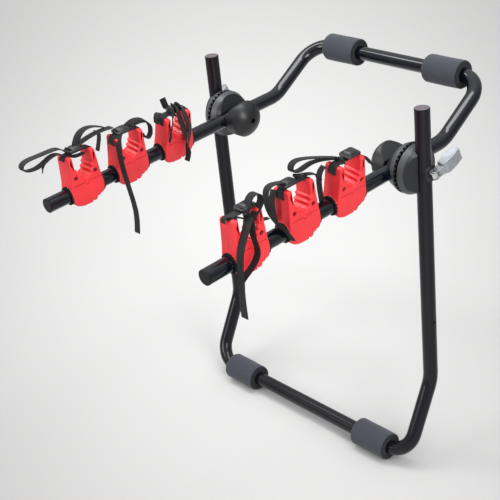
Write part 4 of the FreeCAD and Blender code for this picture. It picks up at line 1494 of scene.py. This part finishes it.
@dataclass(frozen=True)
class Studio:
    """Pale floor with a painted pool of light, soft boxes, and a world that is paler overhead than
    at the sides.
    """

    # centre and rim: floor colour in the middle of the painted pool of light and at its outskirts;
    # the fields down to least shape the pool.
    centre: float = 0.685
    rim: float = 0.086
    back_off: float = 1.8
    aside: float = 0.025
    spread: float = 0.42
    depth: Span = (1.51, 1.54)
    behind: Span = (-0.8, 1.17)
    least: float = 0.48
    size: float = 26.0
    side: float = 0.41
    zenith: float = 1.48
    sky: Colour = (1.0, 0.995, 0.99)
    lamps: Tuple[Lamp, ...] = (
        Lamp("box_top", (-0.25, 0.0, 2.2), (0.45, 2.4), 28.0),
        Lamp("box_right", (2.3, -0.6, 1.5), (1.0, 1.6), 38.0),
        Lamp("box_front", (-0.9, -2.4, 1.5), (1.2, 1.2), 26.0),
    )

    def build(self, hub: Vector, low: float) -> None:
        """Makes floor, lamps and world.

        Args:
            hub: Middle of the hub axis in metres.
            low: Height of the floor in metres.
        """
        mesh = bpy.data.meshes.new("floor")
        half = self.size / 2
        mesh.from_pydata([(-half, -half, low), (half, -half, low), (half, half, low),
                          (-half, half, low)], [], [(0, 1, 2, 3)])
        mesh.materials.append(self.floor_finish())
        floor = bpy.data.objects.new("floor", mesh)
        bpy.context.scene.collection.objects.link(floor)
        for lamp in self.lamps:
            lamp.build(hub)
        self.build_world()

    def build_world(self) -> None:
        """World whose strength rises with the square of the direction's height."""
        world = bpy.data.worlds.new("studio")
        bpy.context.scene.world = world
        nodes = Nodes.of(world)
        height = nodes.split(nodes.texture("Generated"))[2]
        eased = nodes.math("POWER", nodes.math("MAXIMUM", height, 0.0), 2.0)
        strength = nodes.ramp(eased, (0.0, 1.0), (self.side, self.zenith))
        sky = nodes.add("ShaderNodeBackground", {"Strength": strength,
                                                 "Color": (*self.sky, 1.0)})
        nodes.finish(sky, "ShaderNodeOutputWorld")

    def floor_finish(self) -> bpy.types.Material:
        """Pale floor with a painted pool of light: it darkens to its sides, and a little before
        and behind the middle.

        With V away from the photograph's side and U across it, and d = V + back_off, the
        parts are u = (U + aside) / (spread * d) and v = (ln d - depth[0]) / depth[1], and
        the mix is 1 / (1 + u^2 + v^2). On the near side of the rack d grows again, as
        behind[0] * V + behind[1], and the mix stays over least.

        Returns:
            The material.
        """
        material = bpy.data.materials.new("floor_pale")
        nodes = Nodes.of(material)
        turned = nodes.add("ShaderNodeMapping", {
            "Vector": nodes.texture("Object"),
            "Rotation": (0.0, 0.0, -math.radians(Viewpoint().azimuth))})
        across, away, _ = nodes.split(turned.outputs[0])
        far = nodes.math("MAXIMUM", nodes.plus(away, self.back_off),
                         nodes.math("MULTIPLY_ADD", away, *self.behind))
        u = nodes.math("DIVIDE", nodes.plus(across, self.aside), nodes.times(far, self.spread))
        v = nodes.math("DIVIDE", nodes.math("SUBTRACT", nodes.math("LOGARITHM", far, math.e),
                                            self.depth[0]), self.depth[1])
        span = nodes.plus(nodes.times(u, u), nodes.times(v, v))
        light_pool = nodes.math("MAXIMUM", nodes.math("DIVIDE", 1.0, nodes.plus(span, 1.0)),
                          self.least)
        # The painted pool of light: the rim colour at the outskirts, the centre colour in its
        # middle.
        colour = nodes.mix(light_pool, (self.rim,) * 3, (self.centre,) * 3)
        nodes.finish(nodes.add("ShaderNodeBsdfDiffuse", {"Color": colour}))
        return material


ROLLERS = [FoamRoller("lower_pad_right", "lower", 0.0), FoamRoller("lower_pad_left", "lower", 1.0),
           FoamRoller("upper_pad_right", "upper", 2.0), FoamRoller("upper_pad_left", "upper", 3.0)]
FLOOR_GAP = 0.0005


def main() -> None:
    """Builds the whole scene."""
    logging.basicConfig(level=logging.INFO, format="%(message)s")
    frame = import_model()
    bpy.context.scene.view_settings.view_transform = "Standard"
    hub = box_middle("hub_bolts")
    Viewpoint().build(hub)
    paint = Paintbox()
    LOG.info("%d nodes dressed", paint.dress(frame))
    for roller in ROLLERS:
        roller.build(paint)
    shell = CradleShell().bored()
    for cradle in CRADLES:
        cradle.build(shell, paint)
    Studio().build(Vector(hub * MM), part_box("lower_pad_right")[0][2] - FLOOR_GAP)
    LOG.info("size written")


if __name__ == "__main__":
    main()
